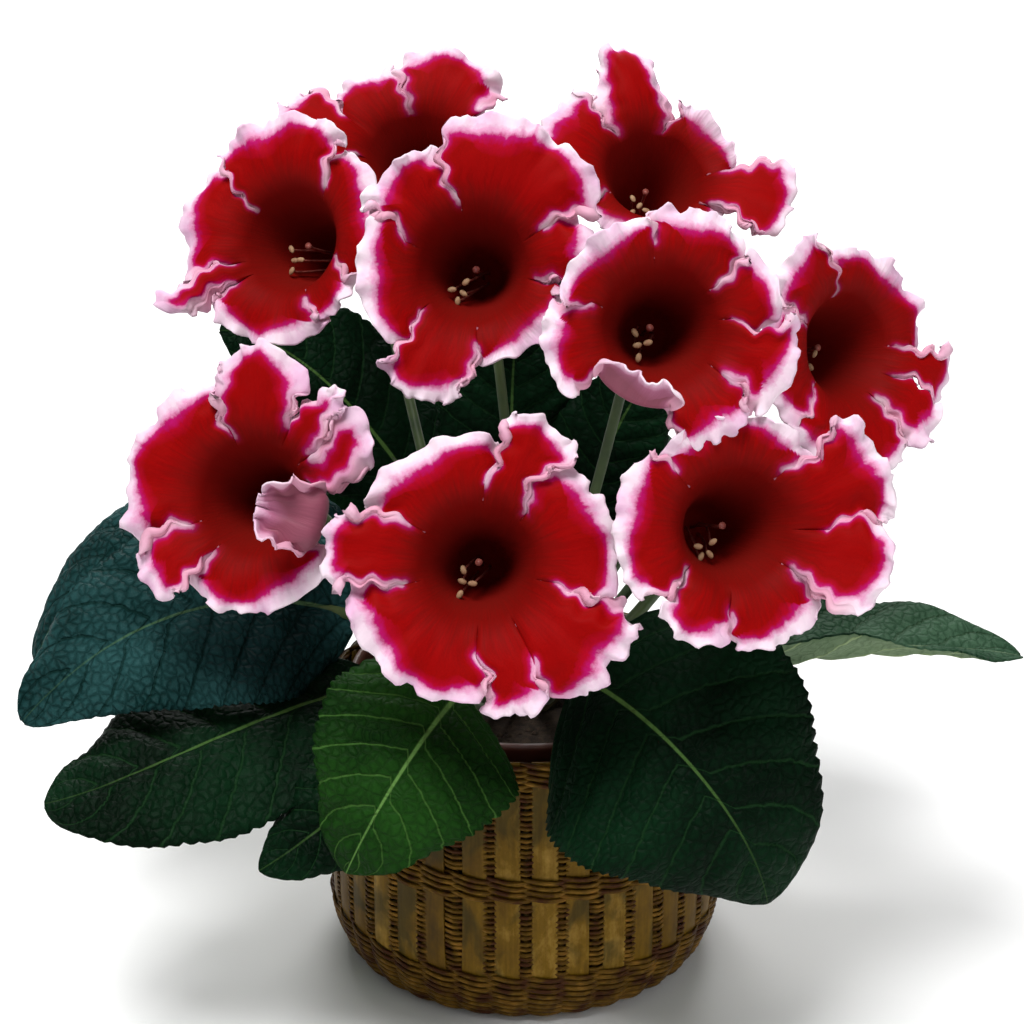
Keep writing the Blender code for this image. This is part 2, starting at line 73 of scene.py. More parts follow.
BAMBOO_TAN = (0.11, 0.058, 0.005, 1.0)
BAMBOO_STAIN = (0.06, 0.033, 0.006, 1.0)
OLIVE_STAIN = (0.035, 0.028, 0.006, 1.0)
CANE_LIGHT = (0.24, 0.12, 0.018, 1.0)
CANE_DARK = (0.055, 0.018, 0.005, 1.0)
FULL = (1.0, 1.0, 1.0, 1.0)
BASKET_GLOSS = 0.08


def wall_radius(height):
    """The basket's outside radius: a rounded belly, then a slight taper up to the rim."""
    sunk = np.clip(1 - height / BELLY_HEIGHT, 0, 1)
    low = FOOT_RADIUS + (BELLY_RADIUS - FOOT_RADIUS) * np.sqrt(1 - sunk**2)
    rise = np.clip((height - BELLY_HEIGHT) / (RIM_HEIGHT - BELLY_HEIGHT), 0, 1)
    return np.where(height < BELLY_HEIGHT, low, BELLY_RADIUS + (RIM_RADIUS - BELLY_RADIUS) * rise**2)


def round_point(turn, radius, height):
    """A point at this turn, radius and height round Z."""
    return np.stack([radius * np.cos(turn), radius * np.sin(turn), height + 0 * turn], axis=-1)


def laid_grid(columns, rows, lay, ring=False, flip=False):
    """A grid laid over a surface. lay takes the shares across and along, 0 to 1, and gives the points,
    or the points, how far each then stands off along its normal, and named marks for the finishes."""
    bm = bmesh.new()
    bmesh.ops.create_grid(bm, x_segments=columns, y_segments=rows, size=0.5)
    flat = np.array([vert.co for vert in bm.verts])
    across = np.rint((flat[:, 0] + 0.5) * columns) / columns
    along = np.rint((flat[:, 1] + 0.5) * rows) / rows
    laid = lay(across, along)
    points, lifts, marks = laid if isinstance(laid, tuple) else (laid, 0 * across, {})
    for vert, point in zip(bm.verts, points):
        vert.co = point
    if flip:
        bmesh.ops.reverse_faces(bm, faces=bm.faces)
    height = bm.verts.layers.float.new("lift")
    for vert, value in zip(bm.verts, lifts):
        vert[height] = value
    for name, values in marks.items():
        layer = bm.verts.layers.float.new(name)
        for vert, value in zip(bm.verts, values):
            vert[layer] = value
    if ring:
        bmesh.ops.remove_doubles(bm, verts=bm.verts, dist=1e-4)
    bm.normal_update()
    height = bm.verts.layers.float["lift"]
    for vert, point in [(vert, vert.co + vert.normal * vert[height]) for vert in bm.verts]:
        vert.co = point
    bm.verts.layers.float.remove(height)
    return bm


def laid_ring(columns, rows, lay):
    """A grid laid round on itself, with its faces outwards."""
    ringed = laid_grid(columns, rows, lay, ring=True)
    bmesh.ops.recalc_face_normals(ringed, faces=ringed.faces)
    return ringed


def finished(name, bm, *finishes, thickness=0.0, smooth=True):
    """Puts a bmesh in millimetres into the scene, as a piece that belongs to the one still body.
    A thickness makes its faces a wall, which grows inwards and has the last finish on its far side."""
    bmesh.ops.scale(bm, vec=(MM, MM, MM), verts=bm.verts)
    mesh = bpy.data.meshes.new(name.replace("_", " "))
    bm.to_mesh(mesh)
    bm.free()
    if smooth:
        mesh.shade_smooth()
    for made in finishes:
        mesh.materials.append(made)
    piece = bpy.data.objects.new(name, mesh)
    bpy.context.scene.collection.objects.link(piece)
    if thickness:
        wall = piece.modifiers.new("thickness", "SOLIDIFY")
        wall.thickness = thickness * MM
        wall.offset = -1.0
        wall.material_offset = len(finishes) - 1
        wall.material_offset_rim = 0
    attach(piece, "root")
    return piece


def joined(parts):
    """Several bmeshes as one."""
    whole = bmesh.new()
    for part in parts:
        held = bpy.data.meshes.new("held")
        part.to_mesh(held)
        part.free()
        whole.from_mesh(held)
        bpy.data.meshes.remove(held)
    return whole


def new_finish(name, roughness):
    """A material, its node tree and its shader."""
    made = bpy.data.materials.new(name)
    made.use_nodes = True
    shader = made.node_tree.nodes["Principled BSDF"]
    shader.inputs["Roughness"].default_value = roughness
    return made, made.node_tree, shader


def add_node(tree, kind, settings=(), **values):
    """A node with its settings. Each value is a number or colour, or the socket that feeds the input,
    which is named, with _ for a space, or numbered, as i0."""
    made = tree.nodes.new(kind)
    for name, value in dict(settings).items():
        setattr(made, name, value)
    for name, value in values.items():
        socket = made.inputs[int(name[1:]) if name[1:].isdigit() else name.replace("_", " ")]
        if isinstance(value, bpy.types.NodeSocket):
            tree.links.new(value, socket)
        else:
            socket.default_value = value
    return made


def attribute(tree, name):
    return add_node(tree, "ShaderNodeAttribute", {"attribute_name": name}).outputs["Fac"]


def maths(tree, operation, a, b=0.0):
    return add_node(tree, "ShaderNodeMath", {"operation": operation}, i0=a, i1=b).outputs[0]


def rescaled(tree, value, low, high, start=1.0, end=0.0):
    """The share between start and end that a value has reached between low and high."""
    made = add_node(tree, "ShaderNodeMapRange", Value=value, i1=low, i2=high, i3=start, i4=end)
    return made.outputs[0]


def noise(tree, vector, scale, detail=3.0, **more):
    made = add_node(tree, "ShaderNodeTexNoise", Vector=vector, Scale=scale, Detail=detail, **more)
    return made.outputs["Fac"]


def ramp(tree, value, *stops):
    """A colour that changes with a value, from stops of (position, colour)."""
    made = add_node(tree, "ShaderNodeValToRGB", Fac=value)
    for index, (position, colour) in enumerate(stops):
        stop = made.color_ramp.elements[index] if index < 2 else made.color_ramp.elements.new(position)
        stop.position = position
        stop.color = colour
    return made.outputs["Color"]


def mixed(tree, share, first, second, blend="MIX"):
    """The first colour, with this share of the second laid over it."""
    made = add_node(tree, "ShaderNodeMix", {"data_type": "RGBA", "blend_type": blend, "clamp_factor": True})
    for index, value in ((0, share), (6, first), (7, second)):
        if isinstance(value, bpy.types.NodeSocket):
            tree.links.new(value, made.inputs[index])
        else:
            made.inputs[index].default_value = value
    return made.outputs[2]


def in_place(tree, stretch=(1.0, 1.0, 1.0)):
    """Object coordinates, stretched."""
    spot = add_node(tree, "ShaderNodeTexCoord").outputs["Object"]
    return add_node(tree, "ShaderNodeMapping", Vector=spot, Scale=stretch).outputs["Vector"]


def painted(tree, shader, colour):
    tree.links.new(colour, shader.inputs["Base Color"])


def bumped(tree, shader, height, strength, distance):
    made = add_node(tree, "ShaderNodeBump", Height=height, Strength=strength, Distance=distance)
    tree.links.new(made.outputs["Normal"], shader.inputs["Normal"])


def new_group(name, inputs, outputs):
    """A group of shader nodes. Its inputs and outputs are labels with the kind of each."""
    group = bpy.data.node_groups.new(name, "ShaderNodeTree")
    for in_out, sockets in (("INPUT", inputs), ("OUTPUT", outputs)):
        for label, kind in sockets.items():
            group.interface.new_socket(label, in_out=in_out, socket_type="NodeSocket" + kind)
    return group


def fibre_pattern():
    """The fibres of split bamboo and cane: their relief, and the colour with its dark streaks."""
    wanted = {"Place": "Vector", "Body": "Color", "Dark": "Color"}
    wanted.update(dict.fromkeys(("Fineness", "Clear", "Depth"), "Float"))
    group = new_group("split fibres", wanted, {"Fibres": "Float", "Streaked": "Color"})
    given = add_node(group, "NodeGroupInput").outputs
    fibres = noise(group, given["Place"], given["Fineness"])
    streaks = mixed(group, rescaled(group, fibres, 0.35, given["Clear"], 0.0, 1.0), given["Dark"], FULL)
    add_node(
        group, "NodeGroupOutput", Fibres=fibres,
        Streaked=mixed(group, given["Depth"], given["Body"], streaks, "MULTIPLY"),
    )
    return group


fibre_group = fibre_pattern()


def fibrous(tree, shader, body, relief, stretch, **values):
    """Runs the fibres over a body colour, and raises them."""
    place = in_place(tree, stretch)
    run = add_node(tree, "ShaderNodeGroup", {"node_tree": fibre_group}, Place=place, Body=body, **values)
    painted(tree, shader, run.outputs["Streaked"])
    shader.inputs["Specular IOR Level"].default_value = BASKET_GLOSS
    bumped(tree, shader, run.outputs["Fibres"], relief, 0.0003)


bamboo, tree, shader = new_finish("split bamboo", 0.42)
blotches = noise(tree, in_place(tree, (1.0, 1.0, 0.6)), 120.0, 5.0, Roughness=0.68)
slat_tone = maths(tree, "MULTIPLY", attribute(tree, "tone"), 0.3)
body = ramp(
    tree, maths(tree, "ADD", maths(tree, "MULTIPLY", blotches, 0.75), slat_tone),
    (0.3, BAMBOO_STAIN), (0.46, BAMBOO_TAN), (0.6, BAMBOO_GOLD), (0.8, BAMBOO_LIGHT),
)
stains = noise(tree, in_place(tree, (1.0, 1.0, 0.7)), 62.0, 4.0, Distortion=0.6)
body = mixed(tree, rescaled(tree, stains, 0.5, 0.6, 0.0, 0.7), body, OLIVE_STAIN)
fibrous(
    tree, shader, body, 0.35, (1.0, 1.0, 0.05),
    Fineness=900.0, Clear=0.6, Dark=(0.7, 0.65, 0.55, 1.0), Depth=0.6,
)
cane, tree, shader = new_finish("split cane", 0.48)
blotches = noise(tree, in_place(tree), 150.0, 3.0)
body = ramp(tree, blotches, (0.38, CANE_DARK), (0.52, BAMBOO_TAN), (0.7, CANE_LIGHT))
fibrous(
    tree, shader, body, 0.3, (1.0, 1.0, 6.0),
    Fineness=260.0, Clear=0.62, Dark=(0.6, 0.52, 0.45, 1.0), Depth=0.8,
)

chance = np.random.default_rng(7)
pitch_turn = math.tau / SLATS
slats = []
for slat in range(SLATS):
    middle = pitch_turn * (slat + 0.5) + chance.normal(0, 0.006)
    half = pitch_turn * SLAT_SHARE / 2 * chance.uniform(0.93, 1.05)
    tone = chance.uniform(0, 1)
    sway = chance.normal(0, 0.008)

    def slat_face(across, along):
        height = RIM_HEIGHT * along
        turn = middle + half * (2 * across - 1) + sway * np.sin(along * 3)
        crown = SLAT_CROWN * (1 - (2 * across - 1) ** 2)
        points = round_point(turn, wall_radius(height) - 0.2 + crown, height)
        return points, 0 * turn, {"tone": 0 * turn + tone}

    slats.append(laid_grid(4, 26, slat_face))
slat_wall = finished("bamboo_slats", joined(slats), bamboo, thickness=SLAT_THICKNESS)
edge = slat_wall.modifiers.new("worn edges", "BEVEL")
edge.width = WORN_EDGE * MM
edge.segments = 2
edge.limit_method = "ANGLE"
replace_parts(slat_wall, "basket_wall")

stakes = []
for stake in range(SLATS):
    middle = pitch_turn * stake

    def stake_face(across, along):
        height = 1.0 + (RIM_HEIGHT - 2.0) * along
        turn = middle + STAKE_HALF_TURN * (2 * across - 1)
        points = round_point(turn, wall_radius(height) - STAKE_INSET, height)
        # The stakes' low tone makes them darker than most slats: painted shade in the gaps between the
        # rungs.
        return points, 0 * turn, {"tone": 0 * turn + 0.1}

    stakes.append(laid_grid(2, 20, stake_face))
finished("stakes", joined(stakes), bamboo, thickness=STAKE_THICKNESS)


def cane_ring(height, reach, rise, thick, tall, facets):
    """A flattened cane run round the wall. reach and rise are how far it stands out and climbs, and
    facets are the sides of its section and its steps from slat to slat."""

    def face(across, along):
        turn = math.tau * along
        corner = math.tau * across
        level = height + rise(turn)
        radius = wall_radius(level) + reach(turn) + thick * np.cos(corner)
        return round_point(turn, radius, level + tall * np.sin(corner))

    return laid_ring(facets, SLATS * facets, face)


def weft(height, shift):
    """A thin cane that comes forward at each stake."""
    return cane_ring(
        height,
        lambda turn: -WEFT_INSET - WEFT_SWING * np.cos(SLATS * turn - math.pi),
        lambda turn: 0.22 * np.sin(turn * 5 + shift) + 0.12 * np.sin(turn * 11 + shift * 2),
        WEFT_THICK, WEFT_TALL, 5,
    )


levels = np.concatenate([np.arange(*LOWER_RUNGS, RUNG_PITCH), np.arange(*UPPER_RUNGS, RUNG_PITCH)])
finished("wefts", joined([weft(level, index * 1.3) for index, level in enumerate(levels)]), cane)

# Woven bands. At the foot, the middle and the rim, pairs of split canes are twined round the slats:
# one passes in front while the other passes behind, and they cross between the slats.
BANDS = {
    "basket_foot_band": (3.4, 5.7, 8.0, 10.3, 12.6, 14.9, 17.2, 19.5),
    "basket_middle_band": (49.2, 51.5, 53.7, 55.9),
    "basket_rim_band": (89.2, 91.4, 93.6, 95.8),
}
TWINED_THICK = 0.5
TWINED_TALL = 0.85
TWINED_SWING = 1.15
TWINED_SWAY = 0.6


def twined_pair(height, row):
    """Two canes that change sides at each gap between slats."""
    pair = []
    for strand in (0.0, math.pi):
        phase = strand + row * math.pi

        def reach(turn):
            return -0.3 + TWINED_SWING * np.sin(SLATS / 2 * turn + phase)

        def rise(turn):
            return TWINED_SWAY * np.cos(SLATS / 2 * turn + phase) + 0.2 * np.sin(turn * 3 + row)

        pair.append(cane_ring(height, reach, rise, TWINED_THICK, TWINED_TALL, 6))
    return pair


for band, levels in BANDS.items():
    canes = [ring for row, level in enumerate(levels) for ring in twined_pair(level, row)]
    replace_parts(finished(band, joined(canes), cane), band)

# Basket floor. Flat bamboo spokes run out from the middle to the foot of the wall. Hoops of cane are
# woven round, over and under them.
SPOKES = 16
SPOKE_SIZE = (50.0, 4.0, 0.8)
SPOKE_MIDDLE = 29.0
FLOOR_LEVEL = 1.6
HOOP_RADII = (6.0, 54.0)
HOOP_PITCH = 3.2
HOOP_WIDE = 1.2
HOOP_THICK = 0.5
HOOP_SWING = 0.7
hoops = []
for hoop, radius in enumerate(np.arange(*HOOP_RADII, HOOP_PITCH)):

    def hoop_face(across, along):
        turn, corner = math.tau * along, math.tau * across
        level = FLOOR_LEVEL + HOOP_SWING * np.sin(SPOKES * turn + hoop * math.pi)
        return round_point(turn, radius + HOOP_WIDE * np.cos(corner), level + HOOP_THICK * np.sin(corner))

    hoops.append(laid_ring(5, 64, hoop_face))
finished("floor_hoops", joined(hoops), cane)
spokes = []
for spoke in range(SPOKES):
    strip = bmesh.new()
    bmesh.ops.create_cube(strip, size=1.0)
    bmesh.ops.scale(strip, vec=SPOKE_SIZE, verts=strip.verts)
    bmesh.ops.translate(strip, vec=(SPOKE_MIDDLE, 0, FLOOR_LEVEL), verts=strip.verts)
    bearing = Matrix.Rotation(math.tau * (spoke + 0.5) / SPOKES, 3, "Z")
    bmesh.ops.rotate(strip, matrix=bearing, verts=strip.verts)
    layer = strip.verts.layers.float.new("tone")
    for vert in strip.verts:
        vert[layer] = 0.35
    spokes.append(strip)
finished("floor_spokes", joined(spokes), bamboo, smooth=False)

# Grow pot. A thin moulded plastic pot in dark red-brown, with a drain hole and a stepped, rolled rim.
# It stands loose in the basket.
POT_PROFILE = (
    (6.0, 3.4), (43.0, 3.4), (44.5, 5.0), (54.3, 83.0), (54.6, 84.6), (58.2, 85.2), (58.9, 86.2),
    (59.2, 97.5), (59.6, 98.6), (59.4, 99.7), (58.4, 100.0), (57.4, 99.4), (57.0, 97.0), (56.6, 86.5),
    (42.0, 6.4), (6.0, 6.4),
)
POT_BROWN = (0.085, 0.021, 0.012, 1.0)
POT_SCUFFED = (0.12, 0.034, 0.02, 1.0)


def turned(profile, segments):
    """A closed body turned from a closed profile of (radius, height) points round Z."""
    bm = bmesh.new()
    verts = [bm.verts.new((radius, 0, height)) for radius, height in profile]
    edges = [bm.edges.new((a, b)) for a, b in zip(verts, verts[1:] + verts[:1])]
    bmesh.ops.spin(
        bm, geom=verts + edges, axis=(0, 0, 1), cent=(0, 0, 0), angle=math.tau,
        steps=segments, use_merge=True, use_duplicate=False,
    )
    bmesh.ops.remove_doubles(bm, verts=bm.verts, dist=1e-4)
    bmesh.ops.recalc_face_normals(bm, faces=bm.faces)
    return bm


def mottled(name, roughness, scale, dark, light, detail=3.0, **more):
    """A finish in soft patches of two colours, and the patches. dark and light have a position each."""
    made, tree, shader = new_finish(name, roughness)
    patches = noise(tree, in_place(tree), scale, detail, **more)
    painted(tree, shader, ramp(tree, patches, dark, light))
    return made, tree, shader, patches


plastic, tree, shader, _ = mottled("pot plastic", 0.38, 140.0, (0.3, POT_BROWN), (0.7, POT_SCUFFED), 4.0)
bumped(tree, shader, noise(tree, in_place(tree), 900.0), 0.08, 0.0002)
pot = finished("pot", turned(POT_PROFILE, 96), plastic)
pot.data.set_sharp_from_angle(angle=math.radians(50))
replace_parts(pot, "grow_pot")

# Soil. Dark peat fills the pot to a finger's width under its rim, slightly heaped round the crown.
# Loose crumbs lie on top.
SOIL_DARK = (0.012, 0.007, 0.004, 1.0)
SOIL_LIGHT = (0.06, 0.038, 0.022, 1.0)
SOIL_REACH = 56.0
SOIL_LEVEL = 87.5
SOIL_FALL = 1.5
SOIL_FOOT = 7.0
SOIL_TAPER = 0.78
SOIL_ROUGH = 0.9
CRUMBS = 220
CRUMB_REACH = 54.0
CRUMB_SIZES = (0.7, 2.1)
peat, tree, shader, grains = mottled(
    "peat", 0.95, 420.0, (0.35, SOIL_DARK), (0.7, SOIL_LIGHT), 5.0, Roughness=0.7,
)
bumped(tree, shader, grains, 0.9, 0.0012)


def soil_face(across, along):
    radius = SOIL_REACH * along
    turn = math.tau * across
    rough = SOIL_ROUGH * np.sin(radius * 0.6 + 3 * np.sin(turn * 2)) * np.sin(turn * 7 + radius * 0.3)
    return round_point(turn, radius, SOIL_LEVEL - SOIL_FALL * along**2 + rough * (along > 0.05) * along)


mound = laid_grid(72, 26, soil_face, ring=True, flip=True)
rim_edges = [edge for edge in mound.edges if edge.is_boundary]
skirt = bmesh.ops.extrude_edge_only(mound, edges=rim_edges)["geom"]
for vert in {part for part in skirt if isinstance(part, bmesh.types.BMVert)}:
    vert.co = (vert.co.x * SOIL_TAPER, vert.co.y * SOIL_TAPER, SOIL_FOOT)
bmesh.ops.holes_fill(mound, edges=[edge for edge in mound.edges if edge.is_boundary], sides=0)
bmesh.ops.recalc_face_normals(mound, faces=mound.faces)
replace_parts(finished("soil", mound, peat), "soil")
crumbs = []
for crumb in range(CRUMBS):
    lump = bmesh.new()
    bmesh.ops.create_icosphere(lump, subdivisions=1, radius=chance.uniform(*CRUMB_SIZES))
    bmesh.ops.scale(lump, vec=tuple(chance.uniform(0.7, 1.2, 3)), verts=lump.verts)
    reach = CRUMB_REACH * math.sqrt(chance.uniform(0.02, 1))
    turn = chance.uniform(0, math.tau)
    level = SOIL_LEVEL - 0.2 - SOIL_FALL * (reach / SOIL_REACH) ** 2
    place = (reach * math.cos(turn), reach * math.sin(turn), level)
    bmesh.ops.translate(lump, vec=place, verts=lump.verts)
    crumbs.append(lump)
finished("soil_crumbs", joined(crumbs), peat, smooth=False)

# Crown. The rounded, corky top of the tuber stands in the soil. Every leaf and flower stalk grows
# from it.
CROWN_RADIUS = 15.0
CROWN_HEIGHT = 97.0
CROWN_SKIN = 0.4
CORK_BROWN = (0.06, 0.032, 0.014, 1.0)
CORK_GREEN = (0.14, 0.12, 0.045, 1.0)
corky, tree, shader, skin = mottled("corky tuber", 0.85, 260.0, (0.35, CORK_BROWN), (0.65, CORK_GREEN), 5.0)
bumped(tree, shader, skin, 0.8, 0.001)


def crown_face(across, along):
    rise = math.pi * (along - 0.5)
    turn = math.tau * across
    lumps = 0.6 * np.sin(turn * 5 + along * 4) + 0.4 * np.sin(turn * 9 - along * 11)
    within = CROWN_RADIUS - CROWN_SKIN
    radius = (within + lumps * np.cos(rise)) * np.cos(rise)
    return round_point(turn, radius, CROWN_HEIGHT + within * np.sin(rise))


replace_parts(finished("crown", laid_ring(48, 30, crown_face), corky), "crown")

# Leaves. Fourteen broad, velvety blades, quilted between their veins and scalloped round the edge, on
# fleshy stalks that run on under the blade as the midrib. The youngest, in front, is a brighter green.
# Each leaf: blade base, two points that pull its midrib, and tip; then its half width, the way its face
# looks, the fall of its sides (a share of the half width), and where its stalk starts on the crown.
LEAVES = {
    "left_high": (
        (-62, 14, 126), (-98, 20, 156), (-148, 12, 153), (-166, -2, 102),
        37, (-0.3, -0.5, 1), 0.3, (172, 10),
    ),
    "left": (
        (-55, -21, 127), (-92, -36, 149), (-130, -57, 141), (-155, -66, 111),
        34, (-0.2, -0.9, 0.9), 0.08, (-168, 1),
    ),
    "left_low": (
        (-46, -38, 111), (-80, -58, 114), (-118, -82, 99), (-146, -84, 92),
        33, (-0.1, -0.5, 1), 0.14, (-147, 2),
    ),
    "front_left": (
        (-20, -66, 121), (-26, -98, 130), (-44, -115, 108), (-53, -106, 82),
        31, (-0.1, -1, 0.35), 0.12, (-108, 4),
    ),
    "front_low": (
        (-28, -71, 107), (-45, -83, 100), (-64, -95, 87), (-80, -97, 77),
        18, (-0.25, -1, 0.6), 0.12, (-127, -3),
    ),
    "front_right": (
        (16, -61, 124), (36, -98, 132), (66, -117, 103), (72, -98, 67),
        44, (0.1, -1, 0.45), 0.14, (-74, 2),
    ),
    "right": (
        (26, -38, 114), (74, -42, 123), (122, -36, 129), (160, -31, 117),
        31, (0.0, -0.08, 1), -0.2, (-36, 6),
    ),
    "right_back": (
        (52, 24, 126), (86, 38, 162), (116, 54, 150), (131, 62, 110),
        37, (0.2, -0.3, 1), 0.16, (22, 8),
    ),
    "back_right": (
        (24, 50, 130), (42, 76, 172), (64, 110, 156), (74, 134, 100),
        36, (0.1, -0.3, 1), 0.16, (64, 8),
    ),
    "back": (
        (-8, 52, 138), (-10, 80, 190), (-12, 116, 192), (-12, 138, 138),
        26, (0, -0.5, 1), 0.16, (98, 14),
    ),
    "back_left": (
        (-46, 52, 130), (-70, 80, 168), (-98, 104, 152), (-108, 118, 100),
        34, (-0.1, -0.3, 1), 0.16, (130, 4),
    ),
    "upper_left": (
        (-40, 50, 148), (-62, 62, 178), (-86, 66, 201), (-108, 64, 201),
        28, (0.3, -1, 0.5), 0.1, (148, 34),
    ),
    "upper_middle": (
        (-4, 14, 152), (-5, 12, 178), (-5, 14, 204), (-2, 12, 222),
        24, (0, -1, 0.25), 0.12, (100, 74),
    ),
    "upper_right": (
        (20, 5, 150), (24, 5, 174), (34, 5, 194), (44, 5, 206),
        19, (0, -1, 0.3), 0.12, (-2, 72),
    ),
}
LEAF_COLUMNS = 30
LEAF_ROWS = 84
VEIN_PAIRS = 8
VEIN_SWEEP = 0.2
QUILTING = 2.1
PUCKER = 0.5
TOOTH_PITCH = 3.8
TOOTH_DEPTH = 0.045
USUAL_BLUNTNESS = 0.65
BLUNTNESS = {"left_low": 0.85}
CURLED_FRONT = {"right": -0.8}
# The two leaves on the left, which face the key light, take a paler blue-green skin: painted sheen.
PAINTED_SHEEN_LEAVES = ("left_high", "left")
PLAIN = ("right_back", "back_right", "back", "back_left")
LEAF_THICKNESS = 0.7
LEAF_RISE = 0.9
PETIOLE_RADIUS = 2.3
PETIOLE_STEPS = 22
MIDRIB_STEPS = 30
MIDRIB_COVER = 0.4
STALK_GAP = 0.35
LEAF_GLOSS = 0.035
STALK_DOWN = 0.12


def curve(points, share):
    """Points along the cubic of four control points, and the unit directions there."""
    a, b, c, d = (np.asarray(point, float) for point in points)
    t = np.asarray(share, float)[..., None]
    s = 1 - t
    place = a * s**3 + b * 3 * s * s * t + c * 3 * s * t * t + d * t**3
    ahead = (b - a) * s * s + (c - b) * 2 * s * t + (d - c) * t * t
    return place, ahead / np.linalg.norm(ahead, axis=-1, keepdims=True)


def unit(vectors):
    """The same directions, each 1 long."""
    return vectors / np.linalg.norm(vectors, axis=-1, keepdims=True)


def crown_point(place):
    """A point on the crown's dome, and the way out of it."""
    turn, rise = (math.radians(value) for value in place)
    out = np.array([math.cos(turn) * math.cos(rise), math.sin(turn) * math.cos(rise), math.sin(rise)])
    return np.array([0, 0, CROWN_HEIGHT]) + out * (CROWN_RADIUS + STALK_GAP), out


def fleshy_bar(path, radii, sides=12):
    """A closed round bar along a list of points."""
    side = None
    sides_at, across_at = [], []
    for index in range(len(path)):
        ahead = unit(path[min(index + 1, len(path) - 1)] - path[max(index - 1, 0)])
        if side is None:
            side = np.array(Vector(ahead).orthogonal().normalized())
        side = unit(side - ahead * side.dot(ahead))
        sides_at.append(side)
        across_at.append(np.cross(ahead, side))
    path, radii = np.array(path), np.array(radii)
    sides_at, across_at = np.array(sides_at), np.array(across_at)

    def face(across, along):
        row = np.rint(along * (len(path) - 1)).astype(int)
        turn = math.tau * across[:, None]
        return path[row] + radii[row, None] * (sides_at[row] * np.cos(turn) + across_at[row] * np.sin(turn))

    bar = laid_grid(sides, len(path) - 1, face, ring=True)
    bmesh.ops.holes_fill(bar, edges=[edge for edge in bar.edges if edge.is_boundary], sides=0)
    bmesh.ops.recalc_face_normals(bar, faces=bar.faces)
    return bar


def half_width(share, blunt):
    """Ovate: widest at about a third of the length, with a blunt tip."""
    return np.sin(math.pi * np.clip(share, 0, 1) ** blunt) ** 0.62


def blade_shape(name, leaf, serial):
    """The function that lays a blade's grid: its points, its quilting, and its marks for the veins."""
    line = leaf[:4]
    widest, face, fall = leaf[4:7]
    front_fall = CURLED_FRONT.get(name, fall)
    blunt = BLUNTNESS.get(name, USUAL_BLUNTNESS)
    fine = np.linspace(0, 1, 60)
    steps = np.linalg.norm(np.diff(curve(line, fine)[0], axis=0), axis=1)
    length = steps.sum()
    teeth = round(length / TOOTH_PITCH)
    spacing = length / VEIN_PAIRS

    def lay(across, along):
        side_share = 2 * across - 1
        outwards = np.abs(side_share)
        share = 0.003 + 0.9955 * along
        spot, ahead = curve(line, share)
        side = unit(np.cross(ahead, np.array(face, float)))
        normal = np.cross(side, ahead)
        scallop = TOOTH_DEPTH * (np.abs(np.sin(math.pi * teeth * share)) ** 0.7 - 0.5) * outwards**6
        half = widest * half_width(share, blunt)
        width = half + 1.2 * (1 - share)
        wave = 1.6 * np.sin(share * 11 + side_share * 2) * side_share**2
        wave = wave + 1.1 * np.sin(share * 23 + side_share * 3 + serial) * outwards**5
        wave = wave * np.minimum(1, width / 14)
        front = front_fall * (1.25 - share) + fall * (share - 0.25)
        rise = wave - np.where(side_share > 0, front, fall) * width * side_share**2 + LEAF_RISE
        points = spot + side * (side_share * (1 + scallop) * width)[:, None] + normal * rise[:, None]

        vein = VEIN_PAIRS * (share - VEIN_SWEEP * outwards**1.25) + 0.32 * np.sign(side_share) + 0.15
        off, run = outwards * half, share * length
        from_vein = np.abs(vein - np.rint(vein)) * spacing
        pillow = (1 - np.exp(-from_vein / 2.4)) * (1 - np.exp(-off / 2.0)) * (1 - outwards**5)
        puckers = np.sin(off * 0.8 + serial + np.sin(run * 0.4)) * np.sin(run * 0.75 + off * 0.4)
        lifts = QUILTING * (pillow - 0.5) * np.minimum(1, 6 * (1 - share)) + PUCKER * puckers * pillow
        return points, lifts, {"off": side_share * half, "run": run, "vein": vein, "share": share}

    return lay


def leaf_pattern():
    """The shared look of the veins: masks of midrib, side veins and net, and the height of the net."""
    labels = ("Midrib", "Side veins", "Net", "Height")
    group = new_group("leaf veins", {}, dict.fromkeys(labels, "Float"))
    off, run, vein, share = (attribute(group, name) for name in ("off", "run", "vein", "share"))
    flat = add_node(group, "ShaderNodeCombineXYZ", X=off, Y=run, Z=0.0).outputs[0]
    shift = add_node(group, "ShaderNodeTexNoise", Vector=flat, Scale=0.3, Detail=2.0).outputs["Color"]
    warped = add_node(
        group, "ShaderNodeVectorMath", {"operation": "MULTIPLY_ADD"}, i0=shift, i1=(2.4, 2.4, 0.0), i2=flat,
    ).outputs[0]

    def net_cells(scale):
        """The distance from the nearest wall of a net of small cells."""
        settings = {"feature": "DISTANCE_TO_EDGE", "voronoi_dimensions": "2D"}
        made = add_node(group, "ShaderNodeTexVoronoi", settings, Vector=warped, Scale=scale)
        return made.outputs["Distance"]

    taper = maths(group, "MULTIPLY", maths(group, "SUBTRACT", 1.25, share), 0.85)
    rib = rescaled(group, maths(group, "DIVIDE", maths(group, "ABSOLUTE", off), taper), 0.55, 1.25)
    wobble = maths(group, "MULTIPLY", maths(group, "SUBTRACT", noise(group, flat, 0.22, 2.0), 0.5), 0.16)
    moved = maths(group, "ADD", vein, wobble)
    gap = maths(group, "ABSOLUTE", maths(group, "SUBTRACT", moved, maths(group, "ROUND", moved)))
    veins = rescaled(group, gap, 0.016, 0.05)
    cells = net_cells(0.33)
    small = maths(group, "MULTIPLY", maths(group, "MINIMUM", net_cells(0.85), 0.25), 0.15)
    height = maths(group, "ADD", maths(group, "MINIMUM", cells, 0.3), small)
    height = maths(group, "SUBTRACT", height, maths(group, "MULTIPLY", veins, 0.25))
    net = rescaled(group, cells, 0.0, 0.1)
    add_node(group, "NodeGroupOutput", Midrib=rib, Side_veins=veins, Net=net, Height=height)
    return group


veins_group = leaf_pattern()


